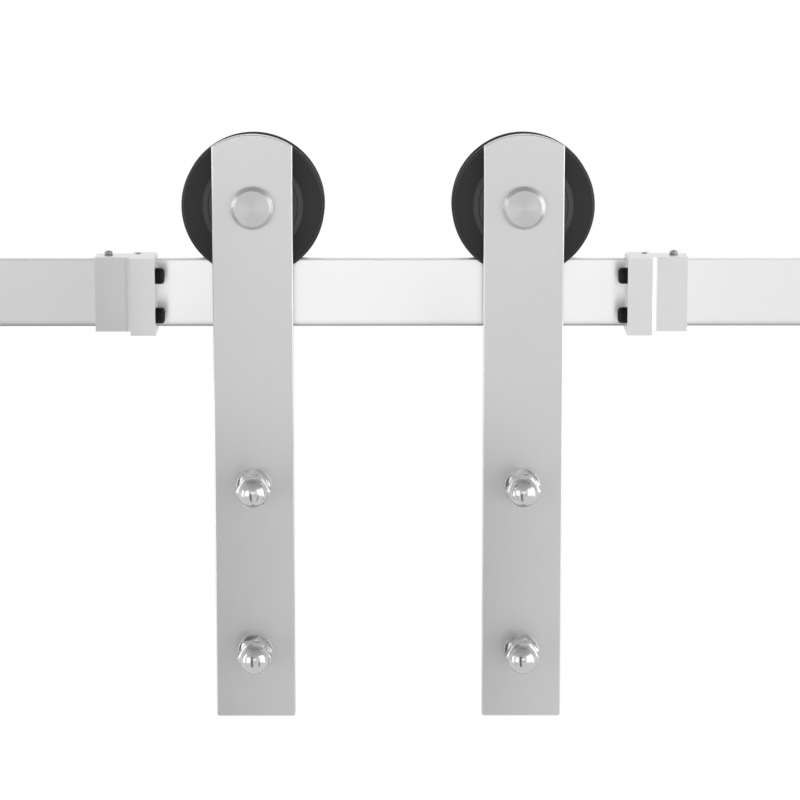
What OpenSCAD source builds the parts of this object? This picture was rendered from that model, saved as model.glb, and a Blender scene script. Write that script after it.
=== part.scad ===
// Sliding barn door hardware: a flat rail on wall spacers, two strap hangers on grooved wheels, and two rail stops.
// The rail lies along X, the wall is the plane y = 0, the room is on the -Y side, and Z is up.
// The origin is where the middle fixing screw enters the wall.

/* [Rail] */
// Length of the flat rail
rail_len = 1219.2; // [1000:1:2000]
// Height of the rail
rail_h = 38.1; // [36:0.1:44]
// Thickness of the rail
rail_t = 6.35; // [5:0.05:8]
// Chamfer along the rail's edges
rail_chamfer = 0.6; // [0.2:0.1:1.5]
// Distance from one fixing hole to the next
fixing_pitch = 406.4; // [380:0.1:420]

/* [Wall fixings] */
// Length of a wall spacer, which is the gap behind the rail
spacer_len = 35; // [30:1:45]
// Outer diameter of a wall spacer
spacer_d = 16; // [14:0.5:17]
// Hole for the fixing screw through rail, spacer and washer
lag_hole_d = 9; // [8.5:0.1:10]
// Plain shank diameter of the fixing screw
lag_d = 8; // [7:0.1:8.2]
// Thread diameter of the fixing screw in the wall
lag_thread_d = 7.6; // [6:0.1:7.6]
// Length of full thread in the wall
lag_thread_len = 40; // [25:1:60]
// Length of the screw's point
lag_point_len = 8; // [5:1:12]
// Width across flats of the fixing screw's head
lag_head_af = 13; // [12:0.1:13.5]
// Height of the fixing screw's head
lag_head_h = 5.3; // [4:0.1:6]
// Outer diameter of the fixing screw's washer
lag_washer_d = 16; // [14:0.5:17]
// Thickness of the fixing screw's washer
lag_washer_t = 1.6; // [1:0.1:2]

/* [Hangers] */
// Distance between the two hangers
hanger_pitch = 150; // [130:1:300]
// Width of a hanger strap
strap_w = 44.45; // [40:0.05:50]
// Thickness of a hanger strap
strap_t = 6.35; // [5:0.05:8]
// Overall length of a hanger strap
strap_len = 330.2; // [300:0.1:360]
// Radius of the strap's crowned top, about the axle
strap_crown_r = 40.5; // [36:0.1:45]
// Radius of the strap's bottom corners
strap_corner_r = 1.5; // [0.5:0.1:4]
// Chamfer along the strap's edges
strap_chamfer = 0.6; // [0.2:0.1:1.2]
// Free gap between the wheel's boss and the strap
strap_gap = 2.5; // [2:0.1:4]
// Depth of the seat for the axle spacer in the strap's back
spacer_seat_depth = 0.5; // [0.3:0.1:1]

/* [Wheels] */
// Outer diameter of a wheel's flanges
wheel_d = 79.4; // [76:0.1:80]
// Diameter of the tread that rolls on the rail
tread_d = 60; // [58:0.1:64]
// Thickness of one flange at the tread
flange_t = 5.3; // [5:0.1:6]
// Gap between the rail and each flange at the tread
groove_clear = 0.5; // [0.3:0.1:0.8]
// How far each side of the groove flares out by the rim
groove_flare = 1.2; // [0.5:0.1:2]
// Gap left between the tread and the rail's top edge
roll_gap = 0.2; // [0.1:0.05:0.3]
// Chamfer on the rim of each flange
rim_chamfer = 1.2; // [0.5:0.1:1.5]
// Diameter of the raised boss on each side of a wheel
boss_d = 53; // [40:0.5:58]
// Height of the raised boss
boss_rise = 1; // [0.5:0.1:1.5]
// Width of the boss's sloping edge
boss_slope = 3.5; // [0.5:0.1:5]
// Hole in the wheel's front shoulder
shoulder_d = 25; // [22:0.5:27]

/* [Bearings] */
// Bore of the bearing
bearing_bore = 10; // [9.5:0.1:10.4]
// Outer diameter of the bearing
bearing_od = 30; // [29:0.1:32]
// Width of the bearing
bearing_w = 9; // [8.6:0.1:10]
// Diameter of a ball
ball_d = 5.5; // [5:0.1:5.8]
// Number of balls
ball_n = 8; // [6:1:9]
// Gap between a ball and its races and pocket
ball_clear = 0.1; // [0.05:0.01:0.15]
// Wall of each bearing ring at its shoulder
ring_wall = 3; // [2.6:0.1:3.2]
// Thickness of a bearing shield
shield_t = 0.6; // [0.4:0.1:0.8]
// Thickness of the circlip that holds the bearing in the wheel
circlip_t = 1.2; // [1:0.1:1.5]
// Depth of the circlip's groove in the wheel
circlip_groove = 0.7; // [0.5:0.1:1]

/* [Axles] */
// Diameter of the axle bolt's head
axle_head_d = 23.5; // [20:0.1:26]
// Height of the axle bolt's head
axle_head_h = 4.5; // [3.5:0.1:6]
// Chamfer round the axle bolt's head
axle_head_chamfer = 2; // [1:0.1:2.5]
// Outer diameter of the axle spacers
axle_spacer_d = 15.6; // [14:0.1:15.8]
// Gap between the wheel's back boss and the axle's washer
axle_back_gap = 1.5; // [1:0.1:3]
// Outer diameter of the axle's washer
axle_washer_d = 20; // [19:0.5:24]
// Thickness of the axle's washer
axle_washer_t = 2; // [1.5:0.1:2.5]
// Height of the lock nut's hexagon
locknut_hex_h = 7.5; // [6:0.1:9]
// Height of the lock nut's collar
locknut_collar_h = 2.5; // [2:0.1:3.5]
// Length of axle that stands past the lock nut
axle_tail = 2; // [1:0.5:4]

/* [Door bolts] */
// Thickness of the door that the bolts take
door_t = 35; // [30:1:36]
// Distance between the two door bolts of a hanger
bolt_pitch = 95.25; // [80:0.05:120]
// Distance from the strap's bottom to the lower bolt
bolt_edge = 38.1; // [25:0.1:50]
// Diameter of the bolt's plain body and of the axle's
bolt_d = 10; // [9.5:0.1:10.2]
// Diameter of the bolt's thread and of the axle's
thread_d = 9.6; // [9:0.1:9.6]
// Diameter of the bolt's flat round head behind the door
bolt_head_d = 24; // [20:0.5:28]
// Height of the bolt's head
bolt_head_h = 4.5; // [4:0.1:6]
// Width across flats of the key socket in the bolt's head
bolt_socket_af = 6; // [5:0.5:8]
// Depth of the key socket
bolt_socket_depth = 2.6; // [2:0.1:3]
// Width across flats of the nuts
nut_af = 17; // [16:0.1:18]
// Height of the plain hexagon nut
jam_nut_h = 8; // [5:0.1:9]
// Height of the cap nut's hexagon
cap_hex_h = 8; // [6:0.1:9]
// Diameter of the cap nut's dome
dome_d = 16; // [14:0.1:16.5]
// Height of the straight part below the dome
dome_neck_h = 2; // [1:0.1:3]
// Outer diameter of the front washer
bolt_washer_d = 20; // [19:0.5:24]
// Thickness of the front washer
bolt_washer_t = 2; // [1.5:0.1:2.5]
// Depth of thread that the bolt takes up in the cap nut
cap_engagement = 12; // [8:0.5:14]
// Turn of the plain nut against the cap nut, in degrees
jam_nut_turn = 18; // [0:1:59]

/* [Stops] */
// Gap from the left bumpers to the left strap's edge
left_stop_gap = 26.8; // [15:0.1:60]
// Gap from the right bumpers to the right strap's edge
right_stop_gap = 30.3; // [15:0.1:60]
// Width of a stop's raised part
stop_raised_w = 13.7; // [12:0.1:20]
// Width of a stop's thinner part
stop_outer_w = 20.3; // [14:0.1:24]
// How far the thinner part stands in front of the rail
stop_outer_t = 8; // [6:0.1:10]
// Radius of the hollow between the two parts
stop_cove_r = 3.8; // [1:0.1:5]
// Wall of the raised part above and below the rail
stop_raised_wall = 2.3; // [1.9:0.1:2.6]
// Wall of the thinner part above and below the rail
stop_outer_wall = 1.6; // [1.2:0.1:1.8]
// Gap between a stop and the rail
stop_clear = 0.15; // [0.1:0.01:0.3]
// Thickness of the lips behind the rail
stop_lip_t = 2.4; // [1.5:0.1:4]
// Height of each lip behind the rail
stop_lip_h = 7; // [4:0.1:9]
// Radius of the raised part's upper inner corner, which clears the wheel's flange
stop_corner_r = 2.2; // [2.1:0.1:3.5]
// Diameter of a rubber bumper
bumper_d = 9; // [7:0.1:10]
// How far a bumper stands out
bumper_len = 5; // [4:0.1:7]
// Radius of the bumper's rounded end
bumper_round = 2; // [0.5:0.1:3]
// Diameter of the bumper's stem
bumper_stem_d = 5; // [3:0.1:6]
// Length of the bumper's stem
bumper_stem_len = 9; // [5:0.5:12]
// Distance between a stop's two bumpers
bumper_pitch = 22.2; // [16:0.1:24]
// Metal in front of a bumper
bumper_wall = 1.6; // [1:0.1:3]
// Diameter of a grub screw
grub_d = 5; // [4:0.1:5.5]
// Length of the grub screw in a stop's raised part
inner_grub_len = 2.9; // [2.4:0.1:4]
// Length of the grub screw in a stop's thinner part
outer_grub_len = 4; // [3:0.1:6]
// Distance from a stop's inner face to its first grub screw
grub_inset = 10.5; // [7:0.1:12]
// Distance between a stop's two grub screws
grub_pitch = 16.5; // [14:0.1:19]

/* [Fits] */
// Radial gap where a piece is pressed or screwed in
press_gap = 0.02; // [0.01:0.01:0.05]
// Radial gap where a piece slides over a bolt
slip_gap = 0.1; // [0.05:0.01:0.2]
// Radial gap round a bolt in a strap or washer
bolt_gap = 0.25; // [0.2:0.01:0.4]

/* [Hidden] */
$fn = 64;
// Overshoot of a cut past the face it opens
cut = 1;
left_x = 0;
right_x = hanger_pitch;
rail_back_y = -spacer_len;
rail_front_y = rail_back_y - rail_t;
rail_mid_y = rail_back_y - rail_t / 2;
// Wheel: the half width of its groove at the tread, and of the whole wheel with and without its bosses
groove_half = rail_t / 2 + groove_clear;
wheel_half = groove_half + flange_t;
boss_half = wheel_half + boss_rise;
axle_z = rail_h / 2 + tread_d / 2 + roll_gap;
// Strap: its back and front faces, its bottom edge and its two door bolts
strap_back_y = rail_mid_y - boss_half - strap_gap;
strap_front_y = strap_back_y - strap_t;
strap_bottom_z = axle_z + strap_crown_r - strap_len;
lower_bolt_z = strap_bottom_z + bolt_edge;
bolt_levels = [lower_bolt_z, lower_bolt_z + bolt_pitch];
// Axle: its spacers, washer, nut and tail, from front to back
bearing_front_y = rail_mid_y - bearing_w / 2;
bearing_back_y = rail_mid_y + bearing_w / 2;
axle_washer_y = rail_mid_y + boss_half + axle_back_gap;
locknut_y = axle_washer_y + axle_washer_t;
locknut_collar_y = locknut_y + locknut_hex_h;
axle_end_y = locknut_collar_y + locknut_collar_h + axle_tail;
locknut_collar_d = nut_af - 1.4;
insert_d = locknut_collar_d - 2.4;
insert_h = 1.8;
// Bearing: shoulders and ball circle
inner_ring_d = bearing_bore + 2 * ring_wall;
outer_ring_d = bearing_od - 2 * ring_wall;
ball_circle_r = (inner_ring_d + outer_ring_d) / 4;
race_r = ball_d / 2 + ball_clear;
shield_gap = 0.3;
cage_half = bearing_w / 2 - shield_t - shield_gap;
cage_wall = 1.6;
// Door bolt: the pieces in front of the strap
washer_front_y = strap_front_y - bolt_washer_t;
jam_front_y = washer_front_y - jam_nut_h;
cap_front_y = jam_front_y - cap_hex_h;
bolt_front_y = jam_front_y - cap_engagement;
bolt_head_y = strap_back_y + door_t;
nut_chamfer_ratio = 0.95;
// Stop: its faces, counted from its inner face at x = 0 outwards along -X
stop_len = stop_raised_w + stop_outer_w;
bumper_y = strap_back_y - strap_t / 2;
stop_raised_y = bumper_y - bumper_d / 2 - bumper_wall;
stop_outer_y = rail_front_y - stop_outer_t;
stop_back_y = rail_back_y + stop_clear + stop_lip_t;
rail_slot_half = rail_h / 2 + stop_clear;
stop_raised_half = rail_slot_half + stop_raised_wall;
stop_outer_half = rail_slot_half + stop_outer_wall;
left_stop_x = left_x - strap_w / 2 - left_stop_gap - bumper_len;
right_stop_x = right_x + strap_w / 2 + right_stop_gap + bumper_len;
bumper_levels = [-bumper_pitch / 2, bumper_pitch / 2];
grub_socket_af = 2.5;
grub_socket_depth = 1.8;
grub_hole_h = stop_raised_wall + stop_clear + cut;
fixing_places = [-fixing_pitch, 0, fixing_pitch];

steel = [0.78, 0.78, 0.77];
bright_steel = [0.86, 0.86, 0.87];
black_nylon = [0.17, 0.17, 0.18];
black_rubber = [0.09, 0.09, 0.09];
zinc_grey = [0.6, 0.6, 0.62];
nylon_white = [0.9, 0.9, 0.88];

// Puts a shape that is built along +Z at a place, so that it points to the front
module facing_front(x, y, z) {
  translate([x, y, z]) rotate([90, 0, 0]) children();
}

// Puts a shape that is built along +Z at a place, so that it points to the wall
module facing_wall(x, y, z) {
  translate([x, y, z]) rotate([-90, 0, 0]) children();
}

// A round ring or tube along +Z
module tube(outer_d, inner_d, h) {
  difference() {
    cylinder(d = outer_d, h = h);
    translate([0, 0, -cut]) cylinder(d = inner_d, h = h + 2 * cut);
  }
}

// A hexagon along +Z with a corner on the X axis and its top corners chamfered
module hex_prism(af, h, turn = 0) {
  corner_r = af / sqrt(3);
  face_r = af / 2 * nut_chamfer_ratio;
  cone_r = corner_r + 1;  // the cone starts outside the corners, so that it crosses them cleanly
  cone_h = (cone_r - face_r) * tan(30);
  intersection() {
    rotate([0, 0, turn]) cylinder(r = corner_r, h = h, $fn = 6);
    union() {
      cylinder(r = cone_r, h = h - cone_h);
      translate([0, 0, h - cone_h]) cylinder(r1 = cone_r, r2 = face_r, h = cone_h);
    }
  }
}

// A hexagon nut with both faces chamfered and a round hole
module hex_nut(af, h, hole_d, turn = 0) {
  difference() {
    intersection() {
      hex_prism(af, h, turn);
      translate([0, 0, h]) mirror([0, 0, 1]) hex_prism(af, h, turn);
    }
    translate([0, 0, -cut]) cylinder(d = hole_d, h = h + 2 * cut);
  }
}

// A bar's cross-section with its four long edges chamfered
module chamfered_section(w, t, c) {
  polygon([
    [-w / 2 + c, -t / 2], [w / 2 - c, -t / 2], [w / 2, -t / 2 + c], [w / 2, t / 2 - c],
    [w / 2 - c, t / 2], [-w / 2 + c, t / 2], [-w / 2, t / 2 - c], [-w / 2, -t / 2 + c]
  ]);
}

// ---- Rail and wall fixings ----

module rail() {
  color(steel) difference() {
    translate([-rail_len / 2, rail_mid_y, 0]) rotate([90, 0, 90])
      linear_extrude(height = rail_len) chamfered_section(rail_t, rail_h, rail_chamfer);
    for (x = fixing_places)
      facing_front(x, rail_back_y + cut, 0) cylinder(d = lag_hole_d, h = rail_t + 2 * cut);
  }
}

module wall_spacers() {
  color(bright_steel) for (x = fixing_places)
    facing_front(x, 0, 0) tube(spacer_d, lag_hole_d, spacer_len);
}

module lag_screws() {
  head_y = rail_front_y - lag_washer_t;
  color(bright_steel) for (x = fixing_places) {
    facing_front(x, head_y, 0) hex_prism(lag_head_af, lag_head_h);
    facing_front(x, 0, 0) cylinder(d = lag_d, h = -head_y);
    facing_wall(x, 0, 0) cylinder(d = lag_thread_d, h = lag_thread_len);
    facing_wall(x, lag_thread_len, 0) cylinder(d1 = lag_thread_d, d2 = 0.6, h = lag_point_len);
  }
}

module lag_washers() {
  color(bright_steel) for (x = fixing_places)
    facing_front(x, rail_front_y, 0) tube(lag_washer_d, lag_hole_d, lag_washer_t);
}

// ---- Hangers ----

module strap_outline() {
  square_top = axle_z + strap_crown_r;
  intersection() {
    union() {
      translate([-strap_w / 2, strap_bottom_z + strap_corner_r]) square([strap_w, square_top - strap_bottom_z]);
      translate([-strap_w / 2 + strap_corner_r, strap_bottom_z])
        square([strap_w - 2 * strap_corner_r, 2 * strap_corner_r]);
      for (side = [-1, 1])
        translate([side * (strap_w / 2 - strap_corner_r), strap_bottom_z + strap_corner_r])
          circle(r = strap_corner_r);
    }
    union() {
      translate([0, axle_z]) circle(r = strap_crown_r, $fn = 128);
      translate([-strap_w, strap_bottom_z - cut]) square([2 * strap_w, axle_z - strap_bottom_z + cut]);
    }
  }
}

module hanger_strap(x) {
  color(steel) difference() {
    intersection() {
      facing_front(x, strap_back_y, 0) linear_extrude(height = strap_t) strap_outline();
      translate([x, strap_back_y - strap_t / 2, strap_bottom_z - cut])
        linear_extrude(height = strap_len + 2 * cut) chamfered_section(strap_w, strap_t, strap_chamfer);
    }
    facing_front(x, strap_back_y + cut, axle_z)
      cylinder(d = bolt_d + 2 * bolt_gap, h = strap_t + 2 * cut);
    facing_front(x, strap_back_y + cut, axle_z)
      cylinder(d = axle_spacer_d + 2 * bolt_gap, h = spacer_seat_depth + cut);
    for (z = bolt_levels)
      facing_front(x, strap_back_y + cut, z) cylinder(d = bolt_d + 2 * bolt_gap, h = strap_t + 2 * cut);
  }
}

// Half of the wheel's section, from the middle of its groove outwards; side is 1 or -1
function wheel_side(side) = let (
    boss_r = boss_d / 2,
    rim_r = wheel_d / 2,
    lip = rim_chamfer / 3,
    rim_groove = groove_half + groove_flare
  ) [
    [tread_d / 2, side * groove_half],
    [rim_r - lip, side * rim_groove],
    [rim_r, side * (rim_groove + lip)],
    [rim_r, side * (wheel_half - rim_chamfer)],
    [rim_r - rim_chamfer, side * wheel_half],
    [boss_r, side * wheel_half],
    [boss_r - boss_slope, side * boss_half],
    [0, side * boss_half]
  ];

function reversed(points) = [for (i = [len(points) - 1 : -1 : 0]) points[i]];

module wheel(x) {
  bearing_hole_d = bearing_od + 2 * press_gap;
  color(black_nylon) facing_front(x, rail_mid_y, axle_z) difference() {
    rotate_extrude($fn = 128) polygon(concat(wheel_side(-1), reversed(wheel_side(1))));
    translate([0, 0, -boss_half - cut]) cylinder(d = bearing_hole_d, h = boss_half + bearing_w / 2 + cut);
    translate([0, 0, -boss_half - cut]) cylinder(d = shoulder_d, h = 2 * (boss_half + cut));
    translate([0, 0, -bearing_w / 2 - circlip_t - press_gap])
      cylinder(d = bearing_od + 2 * circlip_groove, h = circlip_t + press_gap);
  }
}

module ball_race() {
  rotate_extrude() translate([ball_circle_r, 0]) circle(r = race_r, $fn = 48);
}

module bearing_outer_ring(x) {
  color(bright_steel) facing_front(x, bearing_back_y, axle_z) difference() {
    tube(bearing_od, outer_ring_d, bearing_w);
    translate([0, 0, bearing_w / 2]) ball_race();
  }
}

module bearing_inner_ring(x) {
  color(bright_steel) facing_front(x, bearing_back_y, axle_z) difference() {
    tube(inner_ring_d, bearing_bore + 2 * press_gap, bearing_w);
    translate([0, 0, bearing_w / 2]) ball_race();
  }
}

module ball_places() {
  for (i = [0 : ball_n - 1]) rotate([0, 0, i * 360 / ball_n]) translate([ball_circle_r, 0, 0]) children();
}

module bearing_balls(x) {
  color(bright_steel) facing_front(x, rail_mid_y, axle_z) ball_places() sphere(d = ball_d, $fn = 32);
}

module bearing_cage(x) {
  color(zinc_grey) facing_front(x, rail_mid_y, axle_z) difference() {
    translate([0, 0, -cage_half]) tube(2 * ball_circle_r + cage_wall, 2 * ball_circle_r - cage_wall, 2 * cage_half);
    ball_places() translate([-cage_wall, 0, 0]) rotate([0, 90, 0]) cylinder(r = race_r, h = 2 * cage_wall);
  }
}

module bearing_shields(x) {
  shield_outer_d = outer_ring_d - 2 * press_gap;
  shield_inner_d = inner_ring_d + 2 * shield_gap;
  color(zinc_grey) for (y = [bearing_back_y, bearing_front_y + shield_t])
    facing_front(x, y, axle_z) tube(shield_outer_d, shield_inner_d, shield_t);
}

module bearing_circlip(x) {
  outer_d = bearing_od + 2 * (circlip_groove - press_gap);
  inner_d = bearing_od - 2 * ring_wall + 2;
  lug_r = 2;
  lug_ring_r = inner_d / 2 - lug_r / 2;
  color(zinc_grey) facing_front(x, bearing_back_y + circlip_t, axle_z) difference() {
    union() {
      difference() {
        tube(outer_d, inner_d, circlip_t - press_gap);
        translate([-lug_r, 0, -cut]) cube([2 * lug_r, outer_d, circlip_t + 2 * cut]);
      }
      for (side = [-1, 1]) rotate([0, 0, side * 14]) translate([0, lug_ring_r, 0])
        cylinder(r = lug_r, h = circlip_t - press_gap);
    }
    for (side = [-1, 1]) rotate([0, 0, side * 14]) translate([0, lug_ring_r, -cut])
      cylinder(r = lug_r / 2, h = circlip_t + 2 * cut);
  }
}

// ---- Axles ----

// A flat round head along +Z with a chamfered rim
module round_head(d, h, chamfer) {
  cylinder(d = d, h = h - chamfer);
  translate([0, 0, h - chamfer]) cylinder(d1 = d, d2 = d - 2 * chamfer, h = chamfer);
}

module axle_bolt(x) {
  color(steel) {
    facing_front(x, strap_front_y, axle_z) round_head(axle_head_d, axle_head_h, axle_head_chamfer);
    facing_front(x, axle_washer_y, axle_z) cylinder(d = bolt_d, h = axle_washer_y - strap_front_y);
    facing_front(x, axle_end_y, axle_z) cylinder(d = thread_d, h = axle_end_y - axle_washer_y);
  }
}

module axle_front_spacer(x) {
  seat_y = strap_back_y - spacer_seat_depth;
  color(bright_steel) facing_front(x, bearing_front_y, axle_z)
    tube(axle_spacer_d, bolt_d + 2 * slip_gap, bearing_front_y - seat_y);
}

module axle_back_spacer(x) {
  color(bright_steel) facing_front(x, axle_washer_y, axle_z)
    tube(axle_spacer_d, bolt_d + 2 * slip_gap, axle_washer_y - bearing_back_y);
}

module axle_washer(x) {
  color(bright_steel) facing_front(x, locknut_y, axle_z)
    tube(axle_washer_d, bolt_d + 2 * bolt_gap, axle_washer_t);
}

module axle_locknut(x) {
  nut_hole_d = thread_d + 2 * press_gap;
  collar_end = locknut_hex_h + locknut_collar_h;
  color(zinc_grey) facing_wall(x, locknut_y, axle_z) difference() {
    union() {
      hex_nut(nut_af, locknut_hex_h, nut_hole_d);
      translate([0, 0, locknut_hex_h]) tube(locknut_collar_d, nut_hole_d, locknut_collar_h);
    }
    translate([0, 0, collar_end - insert_h]) cylinder(d = insert_d, h = insert_h + cut);
  }
}

module locknut_insert(x) {
  collar_end_y = locknut_collar_y + locknut_collar_h;
  color(nylon_white) facing_front(x, collar_end_y, axle_z)
    tube(insert_d - 2 * press_gap, thread_d + 2 * press_gap, insert_h);
}

// ---- Door bolts ----

module door_bolts(x) {
  color(bright_steel) for (z = bolt_levels) {
    facing_front(x, bolt_head_y, z) cylinder(d = bolt_d, h = door_t);
    facing_front(x, strap_back_y, z) cylinder(d = thread_d, h = strap_back_y - bolt_front_y);
    facing_wall(x, bolt_head_y, z) difference() {
      round_head(bolt_head_d, bolt_head_h, bolt_head_h / 3);
      translate([0, 0, bolt_head_h - bolt_socket_depth])
        cylinder(r = bolt_socket_af / sqrt(3), h = bolt_socket_depth + cut, $fn = 6);
    }
  }
}

module bolt_washers(x) {
  color(bright_steel) for (z = bolt_levels)
    facing_front(x, strap_front_y, z) tube(bolt_washer_d, bolt_d + 2 * bolt_gap, bolt_washer_t);
}

module plain_nuts(x) {
  color(bright_steel) for (z = bolt_levels)
    facing_front(x, washer_front_y, z) hex_nut(nut_af, jam_nut_h, thread_d + 2 * press_gap, jam_nut_turn);
}

module cap_nuts(x) {
  dome_r = dome_d / 2;
  color(bright_steel) for (z = bolt_levels)
    facing_front(x, jam_front_y, z) difference() {
      union() {
        hex_prism(nut_af, cap_hex_h);
        cylinder(d = dome_d, h = cap_hex_h + dome_neck_h);
        intersection() {
          translate([0, 0, cap_hex_h + dome_neck_h]) sphere(r = dome_r);
          translate([0, 0, cap_hex_h]) cylinder(r = dome_d, h = dome_d);
        }
      }
      translate([0, 0, -cut]) cylinder(d = thread_d + 2 * press_gap, h = cap_engagement + 2 * cut);
    }
}

// ---- Rail stops: built for the left side, with the inner face at x = 0, and mirrored for the right ----

module stop_place(x, side) {
  translate([x, 0, 0]) mirror([side > 0 ? 1 : 0, 0, 0]) children();
}

// Outline of the raised part seen from the front, with its upper inner corner rounded
module stop_raised_front() {
  difference() {
    translate([-stop_raised_w, -stop_raised_half]) square([stop_raised_w, 2 * stop_raised_half]);
    translate([-stop_corner_r, stop_raised_half - stop_corner_r]) difference() {
      square(stop_corner_r + cut);
      circle(r = stop_corner_r);
    }
  }
}

// Section of the thinner part seen from above, with the hollow that leads into the raised part
module stop_outer_plan() {
  cove_x = -stop_raised_w - stop_cove_r;
  translate([-stop_len, stop_outer_y]) square([stop_outer_w, stop_back_y - stop_outer_y]);
  difference() {
    translate([cove_x, stop_outer_y - stop_cove_r]) square([stop_cove_r, stop_cove_r]);
    translate([cove_x, stop_outer_y - stop_cove_r]) circle(r = stop_cove_r);
  }
}

module rail_slot() {
  slot_back = rail_back_y + stop_clear;
  slot_front = rail_front_y - stop_clear;
  translate([-stop_len - cut, slot_front, -rail_slot_half])
    cube([stop_len + 2 * cut, slot_back - slot_front, 2 * rail_slot_half]);
  translate([-stop_len - cut, slot_back - cut, -rail_slot_half + stop_lip_h])
    cube([stop_len + 2 * cut, stop_lip_t + 2 * cut, 2 * (rail_slot_half - stop_lip_h)]);
}

module grub_place(i) {
  translate([-grub_inset - i * grub_pitch, rail_mid_y, rail_h / 2]) children();
}

module bumper_places() {
  for (z = bumper_levels) translate([0, bumper_y, z]) rotate([0, 90, 0]) children();
}

module stop_body(x, side) {
  color(steel) stop_place(x, side) difference() {
    union() {
      translate([0, stop_back_y, 0]) rotate([90, 0, 0])
        linear_extrude(height = stop_back_y - stop_raised_y) stop_raised_front();
      translate([0, 0, -stop_outer_half]) linear_extrude(height = 2 * stop_outer_half) stop_outer_plan();
    }
    rail_slot();
    for (i = [0, 1]) grub_place(i) cylinder(d = grub_d + 2 * press_gap, h = grub_hole_h);
    bumper_places() translate([0, 0, -bumper_stem_len - press_gap])
      cylinder(d = bumper_stem_d + 2 * press_gap, h = bumper_stem_len + press_gap + cut);
  }
}

module stop_bumpers(x, side) {
  core_r = bumper_d / 2 - bumper_round;
  color(black_rubber) stop_place(x, side) bumper_places() {
    translate([0, 0, -bumper_stem_len]) cylinder(d = bumper_stem_d, h = bumper_stem_len);
    cylinder(d = bumper_d, h = bumper_len - bumper_round);
    cylinder(r = core_r, h = bumper_len);
    translate([0, 0, bumper_len - bumper_round]) rotate_extrude()
      translate([core_r, 0]) circle(r = bumper_round, $fn = 32);
  }
}

module stop_grub_screws(x, side) {
  lengths = [inner_grub_len, outer_grub_len];
  color(bright_steel) stop_place(x, side) for (i = [0, 1]) grub_place(i) difference() {
    translate([0, 0, press_gap]) cylinder(d = grub_d, h = lengths[i] - press_gap);
    translate([0, 0, lengths[i] - grub_socket_depth])
      cylinder(r = grub_socket_af / sqrt(3), h = grub_socket_depth + cut, $fn = 6);
  }
}

rail();
wall_spacers();
lag_screws();
lag_washers();

hanger_strap(left_x);  // left_hanger_strap
wheel(left_x);  // left_wheel
bearing_outer_ring(left_x);  // left_bearing_outer_ring
bearing_inner_ring(left_x);  // left_bearing_inner_ring
bearing_balls(left_x);  // left_bearing_balls
bearing_cage(left_x);  // left_bearing_cage
bearing_shields(left_x);  // left_bearing_shields
bearing_circlip(left_x);  // left_bearing_circlip
axle_bolt(left_x);  // left_axle_bolt
axle_front_spacer(left_x);  // left_axle_front_spacer
axle_back_spacer(left_x);  // left_axle_back_spacer
axle_washer(left_x);  // left_axle_washer
axle_locknut(left_x);  // left_axle_locknut
locknut_insert(left_x);  // left_locknut_insert
door_bolts(left_x);  // left_door_bolts
bolt_washers(left_x);  // left_bolt_washers
plain_nuts(left_x);  // left_plain_nuts
cap_nuts(left_x);  // left_cap_nuts
stop_body(left_stop_x, -1);  // left_stop_body
stop_bumpers(left_stop_x, -1);  // left_stop_bumpers
stop_grub_screws(left_stop_x, -1);  // left_stop_grub_screws

hanger_strap(right_x);  // right_hanger_strap
wheel(right_x);  // right_wheel
bearing_outer_ring(right_x);  // right_bearing_outer_ring
bearing_inner_ring(right_x);  // right_bearing_inner_ring
bearing_balls(right_x);  // right_bearing_balls
bearing_cage(right_x);  // right_bearing_cage
bearing_shields(right_x);  // right_bearing_shields
bearing_circlip(right_x);  // right_bearing_circlip
axle_bolt(right_x);  // right_axle_bolt
axle_front_spacer(right_x);  // right_axle_front_spacer
axle_back_spacer(right_x);  // right_axle_back_spacer
axle_washer(right_x);  // right_axle_washer
axle_locknut(right_x);  // right_axle_locknut
locknut_insert(right_x);  // right_locknut_insert
door_bolts(right_x);  // right_door_bolts
bolt_washers(right_x);  // right_bolt_washers
plain_nuts(right_x);  // right_plain_nuts
cap_nuts(right_x);  // right_cap_nuts
stop_body(right_stop_x, 1);  // right_stop_body
stop_bumpers(right_stop_x, 1);  // right_stop_bumpers
stop_grub_screws(right_stop_x, 1);  // right_stop_grub_screws
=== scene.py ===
"""The looks of a sliding barn door track set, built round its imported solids.

The rail lies along X, the wall is the plane y = 0, the room is on the -Y side and Z is up.
Sizes in the classes are in millimetres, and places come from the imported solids.
"""

from __future__ import annotations

import logging
import math
from dataclasses import dataclass
from enum import Enum
from functools import partial
from typing import Callable, Sequence, Union

import bmesh
import bpy
from mathutils import Matrix, Vector
from mathutils.geometry import tessellate_polygon


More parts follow.
